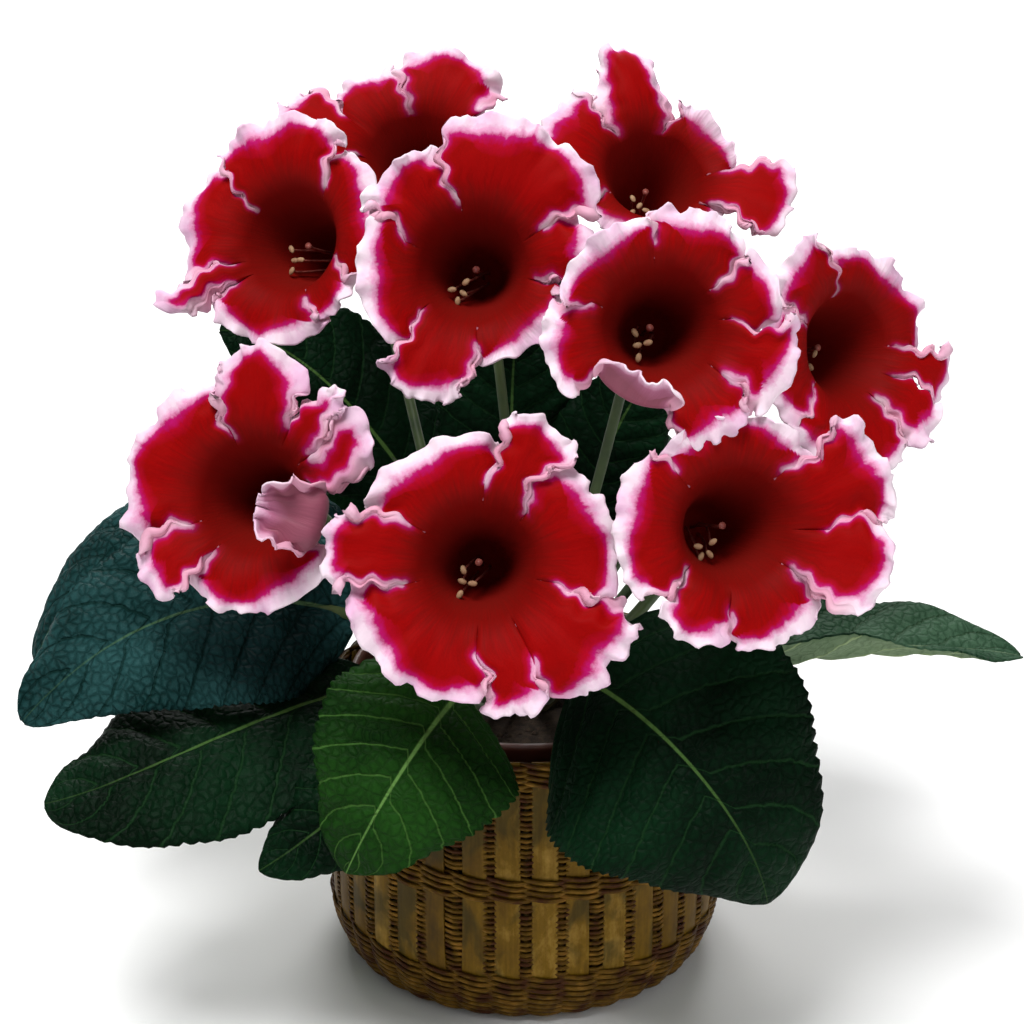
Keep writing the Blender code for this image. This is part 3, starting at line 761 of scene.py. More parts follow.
def leaf_finish(name, deep, bright, veins, midrib, roughness, strength, relief, fading=0.0):
    """A velvety leaf skin with paler veins. fading is how much of the midrib's colour goes by the tip."""
    made, tree, shader = new_finish(name, roughness)
    pattern = add_node(tree, "ShaderNodeGroup", {"node_tree": veins_group}).outputs
    # Painted shade and highlight: the quilting's height makes the skin darker in its hollows and lighter on
    # its pillows.
    painted_quilt_shading = maths(tree, "MULTIPLY", maths(tree, "SUBTRACT", pattern["Height"], 0.2), 0.45)
    patches = maths(tree, "ADD", noise(tree, in_place(tree), 30.0, 5.0), painted_quilt_shading)
    skin = ramp(tree, patches, (0.36, deep), (0.7, bright))
    for mask, share in (("Net", strength * 0.12), ("Side veins", strength)):
        skin = mixed(tree, maths(tree, "MULTIPLY", pattern[mask], share), skin, veins)
    faded = rescaled(tree, attribute(tree, "share"), 0.25, 0.8, 1.0, 1.0 - fading)
    rib = maths(tree, "POWER", pattern["Midrib"], 1.0 + 4.0 * fading)
    painted(tree, shader, mixed(tree, maths(tree, "MULTIPLY", rib, faded), skin, midrib))
    shader.inputs["Specular IOR Level"].default_value = LEAF_GLOSS
    bumped(tree, shader, pattern["Height"], 0.8, relief)
    return made


plain_green = leaf_finish(
    "green leaf", deep=(0.0015, 0.012, 0.004, 1.0), bright=(0.008, 0.04, 0.015, 1.0),
    veins=(0.02, 0.07, 0.02, 1.0), midrib=(0.09, 0.18, 0.05, 1.0),
    roughness=0.5, strength=0.55, relief=0.0014, fading=0.6,
)
# Painted sheen: a paler, bluer green stands in for the velvet sheen on the leaves that face the key light.
painted_sheen_green = leaf_finish(
    "blue-green leaf", deep=(0.002, 0.015, 0.014, 1.0), bright=(0.018, 0.066, 0.066, 1.0),
    veins=(0.006, 0.026, 0.022, 1.0), midrib=(0.08, 0.16, 0.07, 1.0),
    roughness=0.5, strength=0.5, relief=0.0024, fading=0.75,
)
dark_green = leaf_finish(
    "dark green leaf", deep=(0.0005, 0.0045, 0.0015, 1.0), bright=(0.0025, 0.018, 0.006, 1.0),
    veins=(0.01, 0.04, 0.012, 1.0), midrib=(0.08, 0.17, 0.04, 1.0),
    roughness=0.5, strength=0.55, relief=0.0012, fading=0.8,
)
pale = leaf_finish(
    "pale leaf", deep=(0.006, 0.03, 0.012, 1.0), bright=(0.045, 0.095, 0.055, 1.0),
    veins=(0.03, 0.06, 0.03, 1.0), midrib=(0.16, 0.22, 0.13, 1.0),
    roughness=0.55, strength=0.5, relief=0.0014, fading=0.5,
)
young = leaf_finish(
    "young leaf", deep=(0.002, 0.014, 0.0015, 1.0), bright=(0.011, 0.052, 0.006, 1.0),
    veins=(0.05, 0.13, 0.025, 1.0), midrib=(0.12, 0.25, 0.06, 1.0),
    roughness=0.55, strength=0.7, relief=0.0014, fading=0.3,
)
underside = leaf_finish(
    "leaf underside", deep=(0.09, 0.14, 0.075, 1.0), bright=(0.16, 0.23, 0.13, 1.0),
    veins=(0.25, 0.33, 0.16, 1.0), midrib=(0.3, 0.38, 0.18, 1.0),
    roughness=0.65, strength=0.8, relief=-0.001,
)
fleshy, tree, shader, _ = mottled(
    "leaf stalk", 0.5, 60.0, (0.35, (0.03, 0.065, 0.013, 1.0)), (0.65, (0.08, 0.125, 0.03, 1.0)),
)
shader.inputs["Sheen Weight"].default_value = STALK_DOWN
for serial, (name, leaf) in enumerate(LEAVES.items()):
    blade = laid_grid(LEAF_COLUMNS, LEAF_ROWS, blade_shape(name, leaf, serial))
    usual = painted_sheen_green if name in PAINTED_SHEEN_LEAVES else plain_green if name in PLAIN else dark_green
    top = {"front_left": young, "right": pale}.get(name, usual)
    piece = finished("leaf_" + name, blade, top, underside, thickness=LEAF_THICKNESS)
    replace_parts(piece, "leaf_" + name)
    foot, leave = crown_point(leaf[7])
    line = leaf[:4]
    base = np.array(leaf[0], float)
    ahead = curve(line, 0.0)[1]
    reach = np.linalg.norm(base - foot) * 0.4
    stalk = (foot - leave * 1.5, foot + leave * reach, base - ahead * reach, base)
    shares = np.linspace(0, 0.97, PETIOLE_STEPS)
    path = list(curve(stalk, shares)[0])
    radii = [PETIOLE_RADIUS * (1.25 - 0.25 * min(1, share * 3)) for share in shares]
    for share in np.linspace(0.03, 0.9, MIDRIB_STEPS):
        spot, ahead = curve(line, share)
        normal = np.cross(unit(np.cross(ahead, np.array(leaf[5], float))), ahead)
        radii.append(PETIOLE_RADIUS * (1 - share) ** 0.9)
        path.append(spot - normal * (radii[-1] + MIDRIB_COVER) * min(1, share * 8))
    finished("leaf_stalk_" + name, fleshy_bar(path, radii), fleshy)

# Flowers. Each corolla is one red velvety trumpet that opens into six or seven broad, ruffled lobes,
# crimson towards a white margin. Its foot sits in a calyx.
# Each flower: the centre of its throat, the way it faces (degrees round from the front, to the right,
# and up), the place on the crown where its stalk starts, and its lobes in turn. A lobe starts at a
# notch: notch angle seen from the front, notch radius, reach, forward curl in degrees, and point.
FLOWERS = {
    "back_left": (
        (-37, 48, 266), (-8, 46), (150, 62),
        ((36, 27, 39, 10, 0), (102, 17, 35, 8, 0), (158, 29, 46, 20, 0), (189, 21, 30, 0, 0),
         (250, 21, 26, 0, 0), (-44, 25, 27, 0, 0)),
    ),
    "upper_left": (
        (-74, 0, 247), (-26, 22), (-140, 50),
        ((-59, 22, 32, 15, 0), (-9, 19, 36, 0, 0), (56, 22, 39, 0, 0), (149, 17, 38, 0, 0),
         (209, 22, 46, 45, 0.3), (226, 23, 34, 0, 0)),
    ),
    "upper_middle": (
        (-16, -42, 248), (-4, 18), (-95, 66),
        ((-10, 20, 38, 20, 0), (28, 25, 45, 0, 0), (102, 21, 38, 6, 0), (161, 22, 35, 35, 0),
         (220, 21, 42, 5, 0.3), (276, 24, 30, 20, 0)),
    ),
    "back_right": (
        (42, 30, 262), (10, 42), (40, 58),
        ((-41, 23, 46, 5, 0), (-4, 24, 28, 25, 0), (72, 17, 48, -5, 1.0), (126, 19, 40, 0, 0),
         (202, 20, 28, 0, 0), (268, 17, 26, 0, 0)),
    ),
    "middle_right": (
        (37, -80, 240), (4, 18), (-50, 60),
        ((6, 21, 34, 0, 0), (36, 20, 34, 0, 0), (95, 24, 32, 25, 0), (161, 22, 34, 0, 0),
         (222, 20, 35, 135, 0), (269, 21, 36, 0, 0), (-39, 23, 39, 0, 0)),
    ),
    "far_right": (
        (99, -20, 218), (34, 15), (-5, 48),
        ((-67, 20, 40, 20, 0), (-38, 21, 40, 0, 0), (-8, 20, 31, 0, 0), (98, 17, 39, 0, 0),
         (150, 20, 38, 0, 0), (210, 22, 41, 10, 0)),
    ),
    "low_left": (
        (-81, -65, 184), (-14, 20), (-155, 30),
        ((-42, 17, 49, 172, 0), (20, 20, 44, 10, 0), (38, 25, 45, 20, 0.4), (62, 25, 46, 5, 0.8),
         (112, 20, 39, 0, 0), (208, 21, 40, 10, 0), (239, 21, 34, 0, 0)),
    ),
    "low_middle": (
        (-14, -95, 175), (-1, 22), (-100, 34),
        ((-58, 32, 49, 0, 0), (-15, 24, 40, 0, 0), (46, 21, 44, 0, 0), (86, 24, 37, 0, 0),
         (150, 24, 44, 0, 0), (197, 23, 40, 0, 0), (270, 27, 44, 0, 0)),
    ),
    "low_right": (
        (58, -95, 186), (14, 20), (-60, 30),
        ((-42, 21, 45, 40, 0.2), (-7, 27, 46, 0, 0), (45, 22, 32, 10, 0), (136, 25, 37, 0, 0),
         (214, 20, 37, 15, 0.8), (260, 25, 35, 0, 0)),
    ),
}
TUBE_LENGTH = 38.0
TUBE_FOOT_RADIUS = 5.0
TUBE_WIDENING = 0.231
THROAT_BELL = 15.0
THROAT_RADIUS = 16.0
SLOPE_AT = (0, 0.12, 0.3, 0.6, 1.0)
SLOPES = np.radians((27, 42, 64, 86, 102))
LOBE_COLUMNS = 64
EDGE_SAMPLES = 160
TUBE_ROWS = 8
LIMB_ROWS = 30
PETAL_THICKNESS = 0.6
OVERLAP_TOP = 0.05
OVERLAP_UNDER = 0.3
SIDE_LEAN = 0.68
ROLL_WIDTH = 4.0
ROLL_ANGLE = math.radians(85)
CRINKLE = 0.9
RUFFLES = ((2.2, 3, 19.0), (1.3, 6, 8.4), (0.5, 12, 4.4))
SEAM_BOW = 3.8
SEAM_SNAKE = 2.3
SEAM_SHIVER = 1.1
SEAM_SPREAD = 15.0
FOLDED = 120.0
FRILL = math.radians(38)
FRILL_WAVE = 13.0
THROWN_BACK = math.radians(26)
UNDER_DEPTH = 2.6
CURL_STAGES = 20
FAR = 60.0
WHITE_MARGIN = (0.86, 0.72, 0.8, 1.0)
PINK_EDGE = (0.7, 0.3, 0.42, 1.0)
LILAC = (0.7, 0.42, 0.6, 1.0)
BLUSH = (0.74, 0.38, 0.56, 1.0)
MAGENTA = (0.4, 0.006, 0.12, 1.0)
CRIMSON = (0.34, 0.001, 0.014, 1.0)
VELVET_RED = (0.25, 0.0008, 0.0008, 1.0)
THROAT_RED = (0.24, 0.008, 0.005, 1.0)
TUBE_PINK = (0.5, 0.2, 0.2, 1.0)
BAND_REACH = 16.0


def flower_frame(azimuth, elevation):
    """The flower's own axes as columns: to its right, up, and out of its throat."""
    turn, rise = math.radians(azimuth), math.radians(elevation)
    out = np.array([math.sin(turn) * math.cos(rise), -math.cos(turn) * math.cos(rise), math.sin(rise)])
    right = np.array([math.cos(turn), math.sin(turn), 0.0])
    return np.stack([right, np.cross(out, right), out], axis=1)


def uneven(run, wave, seed):
    """Waves of about this length, whose size and length change from place to place."""
    phase = run * math.tau / wave + seed + 1.3 * np.sin(run / (wave * 1.1) + 2 * seed)
    return np.sin(phase) * (0.65 + 0.35 * np.sin(run / (wave * 0.9) + 3 * seed))


def corolla_shape(mouth, axes, lobes, serial):
    """The function that lays a corolla's grid: its points, its ruffles, and its marks for the colours."""
    table = np.array(lobes, float)
    following = np.roll(table, -1, axis=0)
    spans = (following[:, 0] - table[:, 0]) % 360
    count = len(lobes)
    tube_part = TUBE_ROWS / (TUBE_ROWS + LIMB_ROWS)
    rolled_start = np.sin((np.arange(count) + serial) * 2.4) > 0
    rolled_end = ~np.roll(rolled_start, -1)

    def outline(index, share):
        """The petal's edge: root and edge angles, root and edge radius, and the lobe's own curl."""
        angle, notch, reach, curl, point = table[index].T
        leaning = 2 * share - 1
        size = np.abs(leaning)
        on_top = np.where(leaning < 0, rolled_start[index], rolled_end[index])
        over = 1 + np.where(on_top, OVERLAP_TOP, OVERLAP_UNDER) * (1 - point) * size**2 * (1 - size**6)
        swell = np.sin(math.pi / 2 * np.sign(leaning) * size ** (0.6 + 0.4 * point)) * over
        root = notch + (following[index, 1] - notch) * share
        bulge = np.maximum(0, 1 - size ** (2.4 - point)) ** (0.52 + 0.5 * point)
        root_angle = np.radians(angle + spans[index] * share)
        edge_angle = np.radians(angle + spans[index] * (0.5 + 0.5 * swell))
        return root_angle, edge_angle, root, root + (reach - root) * bulge, curl * bulge

    def flare(here):
        """The slope away from the flower's axis, from the mouth of the tube to the petal's edge."""
        return np.interp(here, SLOPE_AT, SLOPES)

    def own_edge(lobe):
        """One lobe's edge on the flattened petal: its points, the share across, and the run along it."""
        share = 0.5 - 0.5 * np.cos(math.pi * np.linspace(0, 1, EDGE_SAMPLES))
        _, edge_angle, _, edge_radius, _ = outline(np.full(EDGE_SAMPLES, lobe), share)
        edge = np.stack([edge_radius * np.cos(edge_angle), edge_radius * np.sin(edge_angle)], axis=-1)
        return edge, share, np.concatenate([[0], np.cumsum(np.linalg.norm(np.diff(edge, axis=0), axis=1))])

    edges = [own_edge(lobe) for lobe in range(count)]
    starts = np.concatenate([[0], np.cumsum([run[-1] for _, _, run in edges])])

    def lay(across, along):
        # Which lobe each point is in, how far across it and how far out.
        spot = across * count
        index = np.floor(spot + 1e-9).astype(int) % count
        even = np.clip(spot - np.floor(spot + 1e-9), 0, 1)
        share = 0 * even
        for lobe, (_, shares, run) in enumerate(edges):
            spaced = np.interp(even, 0.8 * run / run[-1] + 0.2 * shares, shares)
            share = np.where(index == lobe, spaced, share)
        tube = np.clip(along / tube_part, 0, 1)
        inside = along < tube_part
        limb = np.clip((along - tube_part) / (1 - tube_part), 0, 1)
        limb = limb * (1.22 - 0.22 * limb)
        root_angle, edge_angle, root, edge_radius, curl = outline(index, share)
        angle = root_angle + (edge_angle - root_angle) * limb * (2 - limb)
        flat_radius = THROAT_RADIUS + (edge_radius - THROAT_RADIUS) * limb
        flat = np.stack([flat_radius * np.cos(angle), flat_radius * np.sin(angle)], axis=-1)
        # How near it is to the edge, and how far round the whole edge.
        margin = np.full(len(across), FAR)
        to_start, to_end = margin.copy(), margin.copy()
        arc, narrow = 0 * margin, 0 * margin
        for lobe, (edge, shares, run) in enumerate(edges):
            mine = index == lobe
            lean = 2 * shares - 1
            gaps = np.linalg.norm(flat[mine][:, None] - edge[None], axis=2)
            nearest = gaps.argmin(axis=1)
            margin[mine] = gaps.min(axis=1)
            to_start[mine] = gaps[:, lean < -SIDE_LEAN].min(axis=1)
            to_end[mine] = gaps[:, lean > SIDE_LEAN].min(axis=1)
            arc[mine] = np.interp(share[mine], shares, run + starts[lobe])
            narrow[mine] = np.clip((np.abs(lean[nearest]) - 0.55) / 0.35, 0, 1)

        # The limb bends outwards from the tube in small stages, each by the lobe's curl and frill too.
        jag = 1 + 0.035 * uneven(arc, FRILL_WAVE, serial + 1.0) * limb**5
        jag = jag + 0.012 * uneven(arc, 5.0, serial + 2.0) * limb**9
        lobe_curl = np.radians(curl)
        folded = np.abs(table[index, 3]) > FOLDED
        frill = uneven(arc, FRILL_WAVE, serial + 0.5) + uneven(arc, FRILL_WAVE / 2, serial + 1.5) / 3
        back = THROWN_BACK * np.clip(np.sin(index * 1.9 + serial) + 0.4, 0, 1)
        stages = (np.arange(CURL_STAGES) + 0.5) / CURL_STAGES
        usual_gain = np.sin(flare(stages)).mean()
        length = (edge_radius - THROAT_RADIUS) * jag / usual_gain
        radius, height = THROAT_RADIUS + 0 * limb, 0 * limb
        for stage in stages:
            here = limb * stage
            fold = np.clip((here - 0.28) / 0.34, 0, 1)
            bend = np.where(folded, fold * fold * (3 - 2 * fold), here)
            at_edge = np.clip((here - 0.7) / 0.3, 0, 1) ** 2
            slope = flare(here) - lobe_curl * bend + (back + FRILL * frill) * at_edge
            radius = radius + length * limb / CURL_STAGES * np.sin(slope)
            height = height + length * limb / CURL_STAGES * np.cos(slope)

        # Where two lobes overlap, the edge on top rolls up and the edge below tucks under.
        clear_of_notch = np.clip((flat_radius - root + 1.0) / 8, 0, 1)
        clear_of_notch = clear_of_notch**2 * (3 - 2 * clear_of_notch)
        turned = 0 * limb
        crinkle = uneven(arc, 7.0, serial) + 0.7 * uneven(arc, 4.0, serial + 1.0)
        for gap, rolled, towards in (
            (to_start, rolled_start[index], 1.0), (to_end, rolled_end[index], -1.0),
        ):
            bent = np.clip(1 - gap / ROLL_WIDTH, 0, 1) * clear_of_notch * limb * ~folded
            roll = ROLL_ANGLE * bent
            stand = ROLL_WIDTH * (1 - np.cos(roll)) / ROLL_ANGLE
            draw_in = ROLL_WIDTH * (bent - np.sin(roll) / ROLL_ANGLE)
            tuck = UNDER_DEPTH * np.clip(1 - gap / (2 * ROLL_WIDTH), 0, 1) * clear_of_notch * limb * ~folded
            height = height + np.where(rolled, stand, -tuck)
            sway = np.where(rolled, towards * draw_in, 0) + CRINKLE * crinkle * bent
            turned = turned + sway / np.maximum(radius, 8)
            height = height + 0.6 * CRINKLE * np.cos(arc * 1.1 + serial) * bent
        # The seam from each notch wanders from side to side on its way out.
        for notch, (notch_angle, notch_radius) in enumerate(table[:, :2]):
            off_ray = (np.degrees(angle) - notch_angle + 180) % 360 - 180
            beyond = np.clip((flat_radius - notch_radius) / 24, 0, 1.2)
            bow = SEAM_BOW * math.sin(serial * 1.3 + notch * 2.9) * np.sin(math.pi * beyond)
            bow = bow + SEAM_SNAKE * math.cos(serial * 2.2 + notch * 1.7) * np.sin(math.tau * beyond)
            shiver = np.sin(flat_radius * math.tau / 6.4 + notch * 2.3 + serial)
            bow = bow + SEAM_SHIVER * shiver * np.minimum(1, 4 * beyond)
            turned = turned + bow * np.exp(-((off_ray / SEAM_SPREAD) ** 2)) / np.maximum(radius, 5)

        # The tube widens from its foot to the mouth.
        low = (1 - tube) * TUBE_LENGTH
        bell = np.clip(THROAT_BELL - low, 0, THROAT_BELL)
        throat = TUBE_FOOT_RADIUS + TUBE_WIDENING * (TUBE_LENGTH - low) + 0.0098 * bell**2
        throat = throat * np.clip(tube * 14, 0, 1) ** 0.5
        radius = np.where(inside, throat, radius)
        height = np.where(inside, -low, height)
        final = angle + turned
        own = np.stack([radius * np.cos(final), radius * np.sin(final), height], axis=-1)
        points = np.array(mouth, float) + own @ axes.T

        # Ruffles, which fade towards the throat and the seams, and the marks for the finishes.
        calm = 1 - np.abs(2 * share - 1) ** 8
        shift = serial * 1.7 + index * 2.1
        ruffles = 0 * limb
        for (high, near_edge, wave), seed in zip(RUFFLES, (shift, 2 * shift, shift + 1.0)):
            ruffles = ruffles + high * limb**near_edge * uneven(arc, wave, seed)
        folds = 1.5 * limb * (1 - limb) * np.sin(share * math.tau * 1.5 + shift)
        width = (1 - 0.5 * narrow) * (1 + 0.35 * np.sin(arc * math.tau / 43 + serial * 2.2))
        marks = {
            "margin": np.where(inside, 40.0, (margin + 1.2 * (1 - clear_of_notch)) / width),
            "beside": narrow * clear_of_notch,
            "depth": np.where(inside, -low, limb * length),
            "wind_x": np.cos(angle),
            "wind_y": np.sin(angle),
            "serial": 0 * across + serial * 3.7,
        }
        return points, (ruffles + folds) * calm * (1 - 0.6 * folded), marks

    return lay


def petal_pattern():
    """The feathered distance from a petal's edge, and the feathering, which runs out from the throat."""
    group = new_group("petal feathering", {}, {"Inwards": "Float", "Feather": "Float"})
    wind_x, wind_y = attribute(group, "wind_x"), attribute(group, "wind_y")
    drift = maths(group, "MULTIPLY", attribute(group, "depth"), 0.004)
    drift = maths(group, "ADD", drift, attribute(group, "serial"))
    round_about = add_node(group, "ShaderNodeCombineXYZ", X=wind_x, Y=wind_y, Z=drift).outputs[0]
    feather = noise(group, round_about, 26.0, 3.0, Roughness=0.6)
    cloud = noise(group, in_place(group), 150.0, 5.0, Roughness=0.65)
    inwards = attribute(group, "margin")
    for waves, far in ((feather, 1.3), (cloud, 4.4)):
        moved = maths(group, "MULTIPLY", maths(group, "SUBTRACT", waves, 0.5), far)
        inwards = maths(group, "ADD", inwards, moved)
    add_node(group, "NodeGroupOutput", Inwards=inwards, Feather=feather)
    return group


feather_group = petal_pattern()
petal, tree, shader = new_finish("petal face", 0.62)
inwards, feather = add_node(tree, "ShaderNodeGroup", {"node_tree": feather_group}).outputs
washes = rescaled(tree, noise(tree, in_place(tree), 75.0, 4.0), 0.42, 0.66, 0.0, 0.9)
edge_tint = mixed(tree, washes, WHITE_MARGIN, LILAC)
edge_tint = mixed(tree, maths(tree, "MULTIPLY", attribute(tree, "beside"), 0.9), edge_tint, PINK_EDGE)
bands = ramp(
    tree, maths(tree, "DIVIDE", inwards, BAND_REACH),
    (0.0, FULL), (0.15, (0.94, 0.86, 0.9, 1.0)), (0.2, BLUSH), (0.28, MAGENTA), (0.38, CRIMSON),
    (0.54, VELVET_RED),
)
pale_part = rescaled(tree, inwards, 2.6, 3.6)
bands = mixed(tree, pale_part, bands, mixed(tree, 1.0, bands, edge_tint, "MULTIPLY"))
streaks = maths(tree, "MULTIPLY", maths(tree, "SUBTRACT", feather, 0.5), 16.0)
streaked = maths(tree, "ADD", attribute(tree, "depth"), streaks)
# Painted shade: the colour darkens down the throat, most in the upper tube and round its mouth, and the
# feathering spreads it out in streaks.
painted_throat_shade = ramp(
    tree, rescaled(tree, streaked, -34.0, 15.0, 0.0, 1.0),
    (0.0, (0.95, 0.9, 0.9, 1.0)), (0.5, (0.62, 0.6, 0.6, 1.0)), (0.76, (0.68, 0.66, 0.66, 1.0)), (1.0, FULL),
)
inner = rescaled(tree, streaked, -10.0, 12.0)
body = mixed(tree, 1.0, mixed(tree, inner, bands, THROAT_RED), painted_throat_shade, "MULTIPLY")
tone = ramp(tree, feather, (0.3, (0.85, 0.85, 0.85, 1.0)), (0.7, (1.08, 1.08, 1.08, 1.0)))
painted(tree, shader, mixed(tree, 0.4, body, tone, "MULTIPLY"))
shader.inputs["Specular IOR Level"].default_value = 0.04
bumped(tree, shader, feather, 0.2, 0.0005)

petal_back, tree, shader = new_finish("petal back", 0.6)
inwards, feather = add_node(tree, "ShaderNodeGroup", {"node_tree": feather_group}).outputs
bands = ramp(
    tree, maths(tree, "DIVIDE", inwards, BAND_REACH),
    (0.0, (0.8, 0.56, 0.68, 1.0)), (0.1, (0.62, 0.33, 0.47, 1.0)), (0.2, (0.36, 0.1, 0.19, 1.0)),
    (0.45, (0.25, 0.05, 0.09, 1.0)),
)
bands = mixed(tree, rescaled(tree, attribute(tree, "depth"), -30.0, 6.0), bands, TUBE_PINK)
near_edge = rescaled(tree, inwards, 2.5, 4.5, 0.9, 0.0)
bands = mixed(tree, maths(tree, "MULTIPLY", near_edge, attribute(tree, "beside")), bands, PINK_EDGE)
tone = ramp(tree, feather, (0.3, (0.78, 0.72, 0.75, 1.0)), (0.7, FULL))
painted(tree, shader, mixed(tree, 0.6, bands, tone, "MULTIPLY"))
shader.inputs["Sheen Weight"].default_value = 0.1
bumped(tree, shader, feather, 0.3, 0.0006)

for serial, (name, (mouth, facing, _, lobes)) in enumerate(FLOWERS.items()):
    lay = corolla_shape(mouth, flower_frame(*facing), lobes, serial)
    trumpet = laid_grid(len(lobes) * LOBE_COLUMNS, TUBE_ROWS + LIMB_ROWS, lay, ring=True, flip=True)
    piece = finished("corolla_" + name, trumpet, petal, petal_back, thickness=PETAL_THICKNESS)
    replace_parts(piece, "corolla_" + name)

# Flower stalks. Each round, downy green stalk widens into a calyx with five pointed sepals that clasp
# the foot of the corolla's tube.
STALK_RADIUS = 1.7
STALK_STEPS = 40
SEAT_DEPTH = 40.6
SEPAL_COUNT = 5
SEPAL_LENGTH = 11.0
CUP_HEIGHT = 3.0
CUP_FLARE = 5.4
CALYX_THICKNESS = 0.7
downy, tree, shader, _ = mottled(
    "downy stalk", 0.55, 70.0, (0.35, (0.02, 0.045, 0.01, 1.0)), (0.65, (0.055, 0.095, 0.022, 1.0)),
)
shader.inputs["Sheen Weight"].default_value = STALK_DOWN
for name, (mouth, facing, start, _) in FLOWERS.items():
    axes = flower_frame(*facing)
    out = axes[:, 2]
    mouth = np.array(mouth, float)
    seat = mouth - out * SEAT_DEPTH
    foot, leave = crown_point(start)
    pull = np.linalg.norm(seat - foot) * 0.42
    line = (foot - leave * 1.5, foot + leave * pull, seat - out * pull * 0.7, seat)
    path = curve(line, np.linspace(0, 1, STALK_STEPS))[0]
    radii = STALK_RADIUS * (1.1 - 0.1 * np.minimum(1, np.linspace(0, 8, STALK_STEPS)))
    stalk = fleshy_bar(list(path), list(radii))

    def sepal_face(across, along):
        turn = math.tau * across
        tip = np.abs(np.cos(SEPAL_COUNT * turn / 2)) ** 2.2
        up = along * (CUP_HEIGHT + SEPAL_LENGTH * tip)
        flare = STALK_RADIUS + CUP_FLARE * np.minimum(1, up / CUP_HEIGHT) ** 0.5
        flare = flare + 0.24 * np.maximum(0, up - CUP_HEIGHT)
        own = np.stack([flare * np.cos(turn), flare * np.sin(turn), up - SEAT_DEPTH - 0.2], axis=-1)
        return mouth + own @ axes.T

    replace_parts(finished("stalk_" + name, stalk, downy), "stalk_" + name)
    finished("calyx_" + name, laid_ring(40, 10, sepal_face), downy, thickness=CALYX_THICKNESS)

# Stamens and pistil. Four thin filaments arch out of the tube's foot, each with a small cream anther at
# its end; the pink stigma stands beside them on its own style.
# The anthers' cream and cream brown are darkened as painted shade, for their place down in the throat.
CREAM_IN_PAINTED_SHADE = (0.36, 0.23, 0.12, 1.0)
CREAM_BROWN_IN_PAINTED_SHADE = (0.26, 0.12, 0.06, 1.0)
STIGMA_PINK = (0.3, 0.08, 0.06, 1.0)
STYLE_RED = (0.12, 0.012, 0.01, 1.0)
FILAMENT_RADIUS = 0.36
FILAMENT_FOOT = -38.3
ANTHERS = 4
ANTHER_RADIUS = 1.1
ANTHER_SHAPE = (1.3, 0.8, 0.6)
HEAD_LEAN = 4.5
HEAD_DROP = 4.6
HEAD_DEPTH = 11.0
HEAD_SPREAD = 3.6
STIGMA_DEPTH = 10.0
STYLE_RADII = [0.5] * 12 + [0.8, 1.1]
STAMEN_STEPS = len(STYLE_RADII)
pollen = mottled("cream anther in painted shade", 0.7, 900.0, (0.3, CREAM_BROWN_IN_PAINTED_SHADE), (0.65, CREAM_IN_PAINTED_SHADE))[0]
style_pink = mottled("pink style", 0.5, 500.0, (0.3, STYLE_RED), (0.65, STIGMA_PINK))[0]


def thread(line, radii, sides):
    """A filament or style along the cubic of four points."""
    return fleshy_bar(list(curve(line, np.linspace(0, 1, STAMEN_STEPS))[0]), radii, sides)


for serial, (name, (mouth, facing, _, _)) in enumerate(FLOWERS.items()):
    axes = flower_frame(*facing)
    held = Matrix.Translation(Vector(mouth)) @ Matrix(axes.tolist()).to_4x4()
    lean = HEAD_LEAN if name == "low_left" else -HEAD_LEAN
    head = np.array([lean + math.sin(serial * 2.1), math.cos(serial * 1.3) - HEAD_DROP, -HEAD_DEPTH])
    anthers, bars = [], []
    for anther in range(ANTHERS):
        turn = math.tau * (anther + 0.5) / ANTHERS + serial + 0.5 * math.sin(anther * 5 + serial)
        spread = np.array([math.cos(turn), math.sin(turn), 0.0])
        lump = bmesh.new()
        bmesh.ops.create_uvsphere(lump, u_segments=12, v_segments=8, radius=ANTHER_RADIUS)
        bmesh.ops.scale(lump, vec=ANTHER_SHAPE, verts=lump.verts)
        bmesh.ops.rotate(lump, matrix=Matrix.Rotation(turn, 3, "Z"), verts=lump.verts)
        apart = spread * HEAD_SPREAD * (0.75 + 0.35 * math.sin(anther * 3 + serial * 2))
        tip = head + (apart + (0, 0, math.sin(anther * 4 + serial)))
        bmesh.ops.translate(lump, vec=tuple(tip), verts=lump.verts)
        anthers.append(lump)
        line = (spread * 2.0 + (0, 0, FILAMENT_FOOT), spread * 4.0 + (0, 0, -28.0), tip - (0, 0, 6.0), tip)
        bars.append(thread(line, [FILAMENT_RADIUS] * STAMEN_STEPS, 6))
    stigma = np.array([lean * 0.2 + math.sin(serial), 0.5, -STIGMA_DEPTH])
    line = ((0, 0, FILAMENT_FOOT), (0, 2, -26.0), stigma - (0, 1, 6.0), stigma)
    bars.append(thread(line, STYLE_RADII, 10))
    for parts, finish, label in ((anthers, pollen, "anthers_"), (bars, style_pink, "filaments_and_style_")):
        whole = joined(parts)
        bmesh.ops.transform(whole, matrix=held, verts=whole.verts)
        piece = finished(label + name, whole, finish)
        if finish is pollen:
            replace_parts(piece, "stamens_" + name)

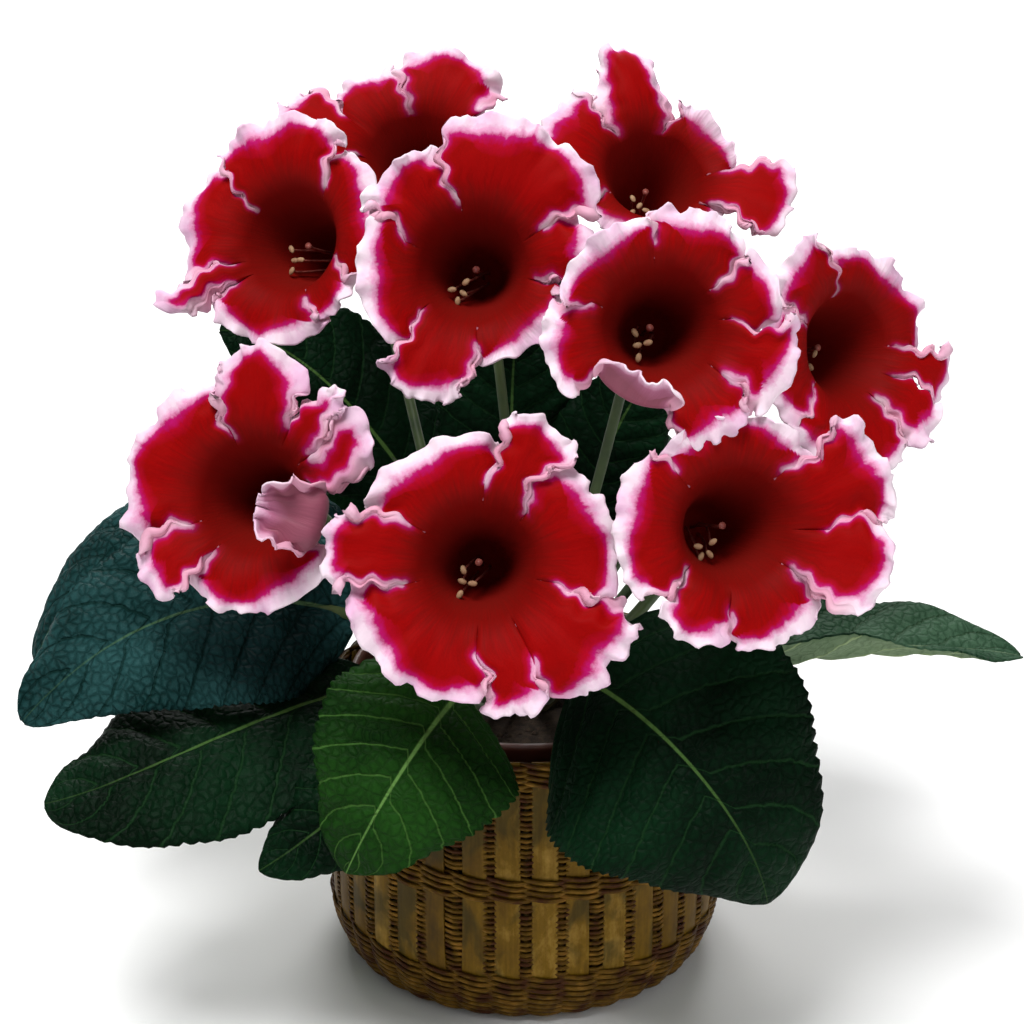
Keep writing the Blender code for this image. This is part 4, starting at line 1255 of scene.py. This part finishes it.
# Studio. The basket stands on plain pale paper under a soft light from the viewer's upper left, with a
# weak fill from the right and a wash on the paper behind. Lengths here are metres.
FLOOR_SIZE = 14.0
PAPER_DARK = (0.9, 0.9, 0.9, 1.0)
PAPER_LIGHT = (0.93, 0.93, 0.93, 1.0)
SKY_STRENGTH = 0.22
LOOK_AT = (-0.0045, 0, 0.156)
CAMERA_AWAY = 0.66
CAMERA_TILT = math.radians(20)
CAMERA_LENS = 70.0
sheet = bmesh.new()
bmesh.ops.create_grid(sheet, x_segments=1, y_segments=1, size=FLOOR_SIZE / 2)
paper_mesh = bpy.data.meshes.new("paper floor")
sheet.to_mesh(paper_mesh)
sheet.free()
paper_mesh.materials.append(mottled("pale paper", 0.9, 3.0, (0.3, PAPER_DARK), (0.7, PAPER_LIGHT))[0])
floor = bpy.data.objects.new("paper floor", paper_mesh)
bpy.context.scene.collection.objects.link(floor)

world = bpy.data.worlds.new("studio")
world.use_nodes = True
sky = world.node_tree.nodes["Background"]
sky.inputs["Color"].default_value = FULL
sky.inputs["Strength"].default_value = SKY_STRENGTH
bpy.context.scene.world = world


def soft_light(name, place, size, power, aim=(0, 0, 0.15)):
    """A square soft light, turned to its aim."""
    lamp = bpy.data.lights.new(name, "AREA")
    lamp.size = size
    lamp.energy = power
    made = bpy.data.objects.new(name, lamp)
    made.location = place
    made.rotation_euler = (Vector(aim) - Vector(place)).to_track_quat("-Z", "Y").to_euler()
    bpy.context.scene.collection.objects.link(made)


soft_light("key", (-0.3, -0.55, 1.6), size=0.7, power=29.0)
soft_light("fill", (0.9, -0.8, 0.5), size=0.9, power=3.0)
soft_light("floor wash", (0.0, 3.2, 2.2), size=2.5, power=160.0, aim=(0, 3.0, 0))

camera = bpy.data.cameras.new("photo view")
camera.lens = CAMERA_LENS
camera.sensor_width = 36.0
eye = bpy.data.objects.new("photo view", camera)
aim = Vector(LOOK_AT)
eye.location = aim + CAMERA_AWAY * Vector((0, -math.cos(CAMERA_TILT), math.sin(CAMERA_TILT)))
eye.rotation_euler = (aim - eye.location).to_track_quat("-Z", "Y").to_euler()
bpy.context.scene.collection.objects.link(eye)
bpy.context.scene.camera = eye
bpy.context.scene.view_settings.view_transform = "Standard"
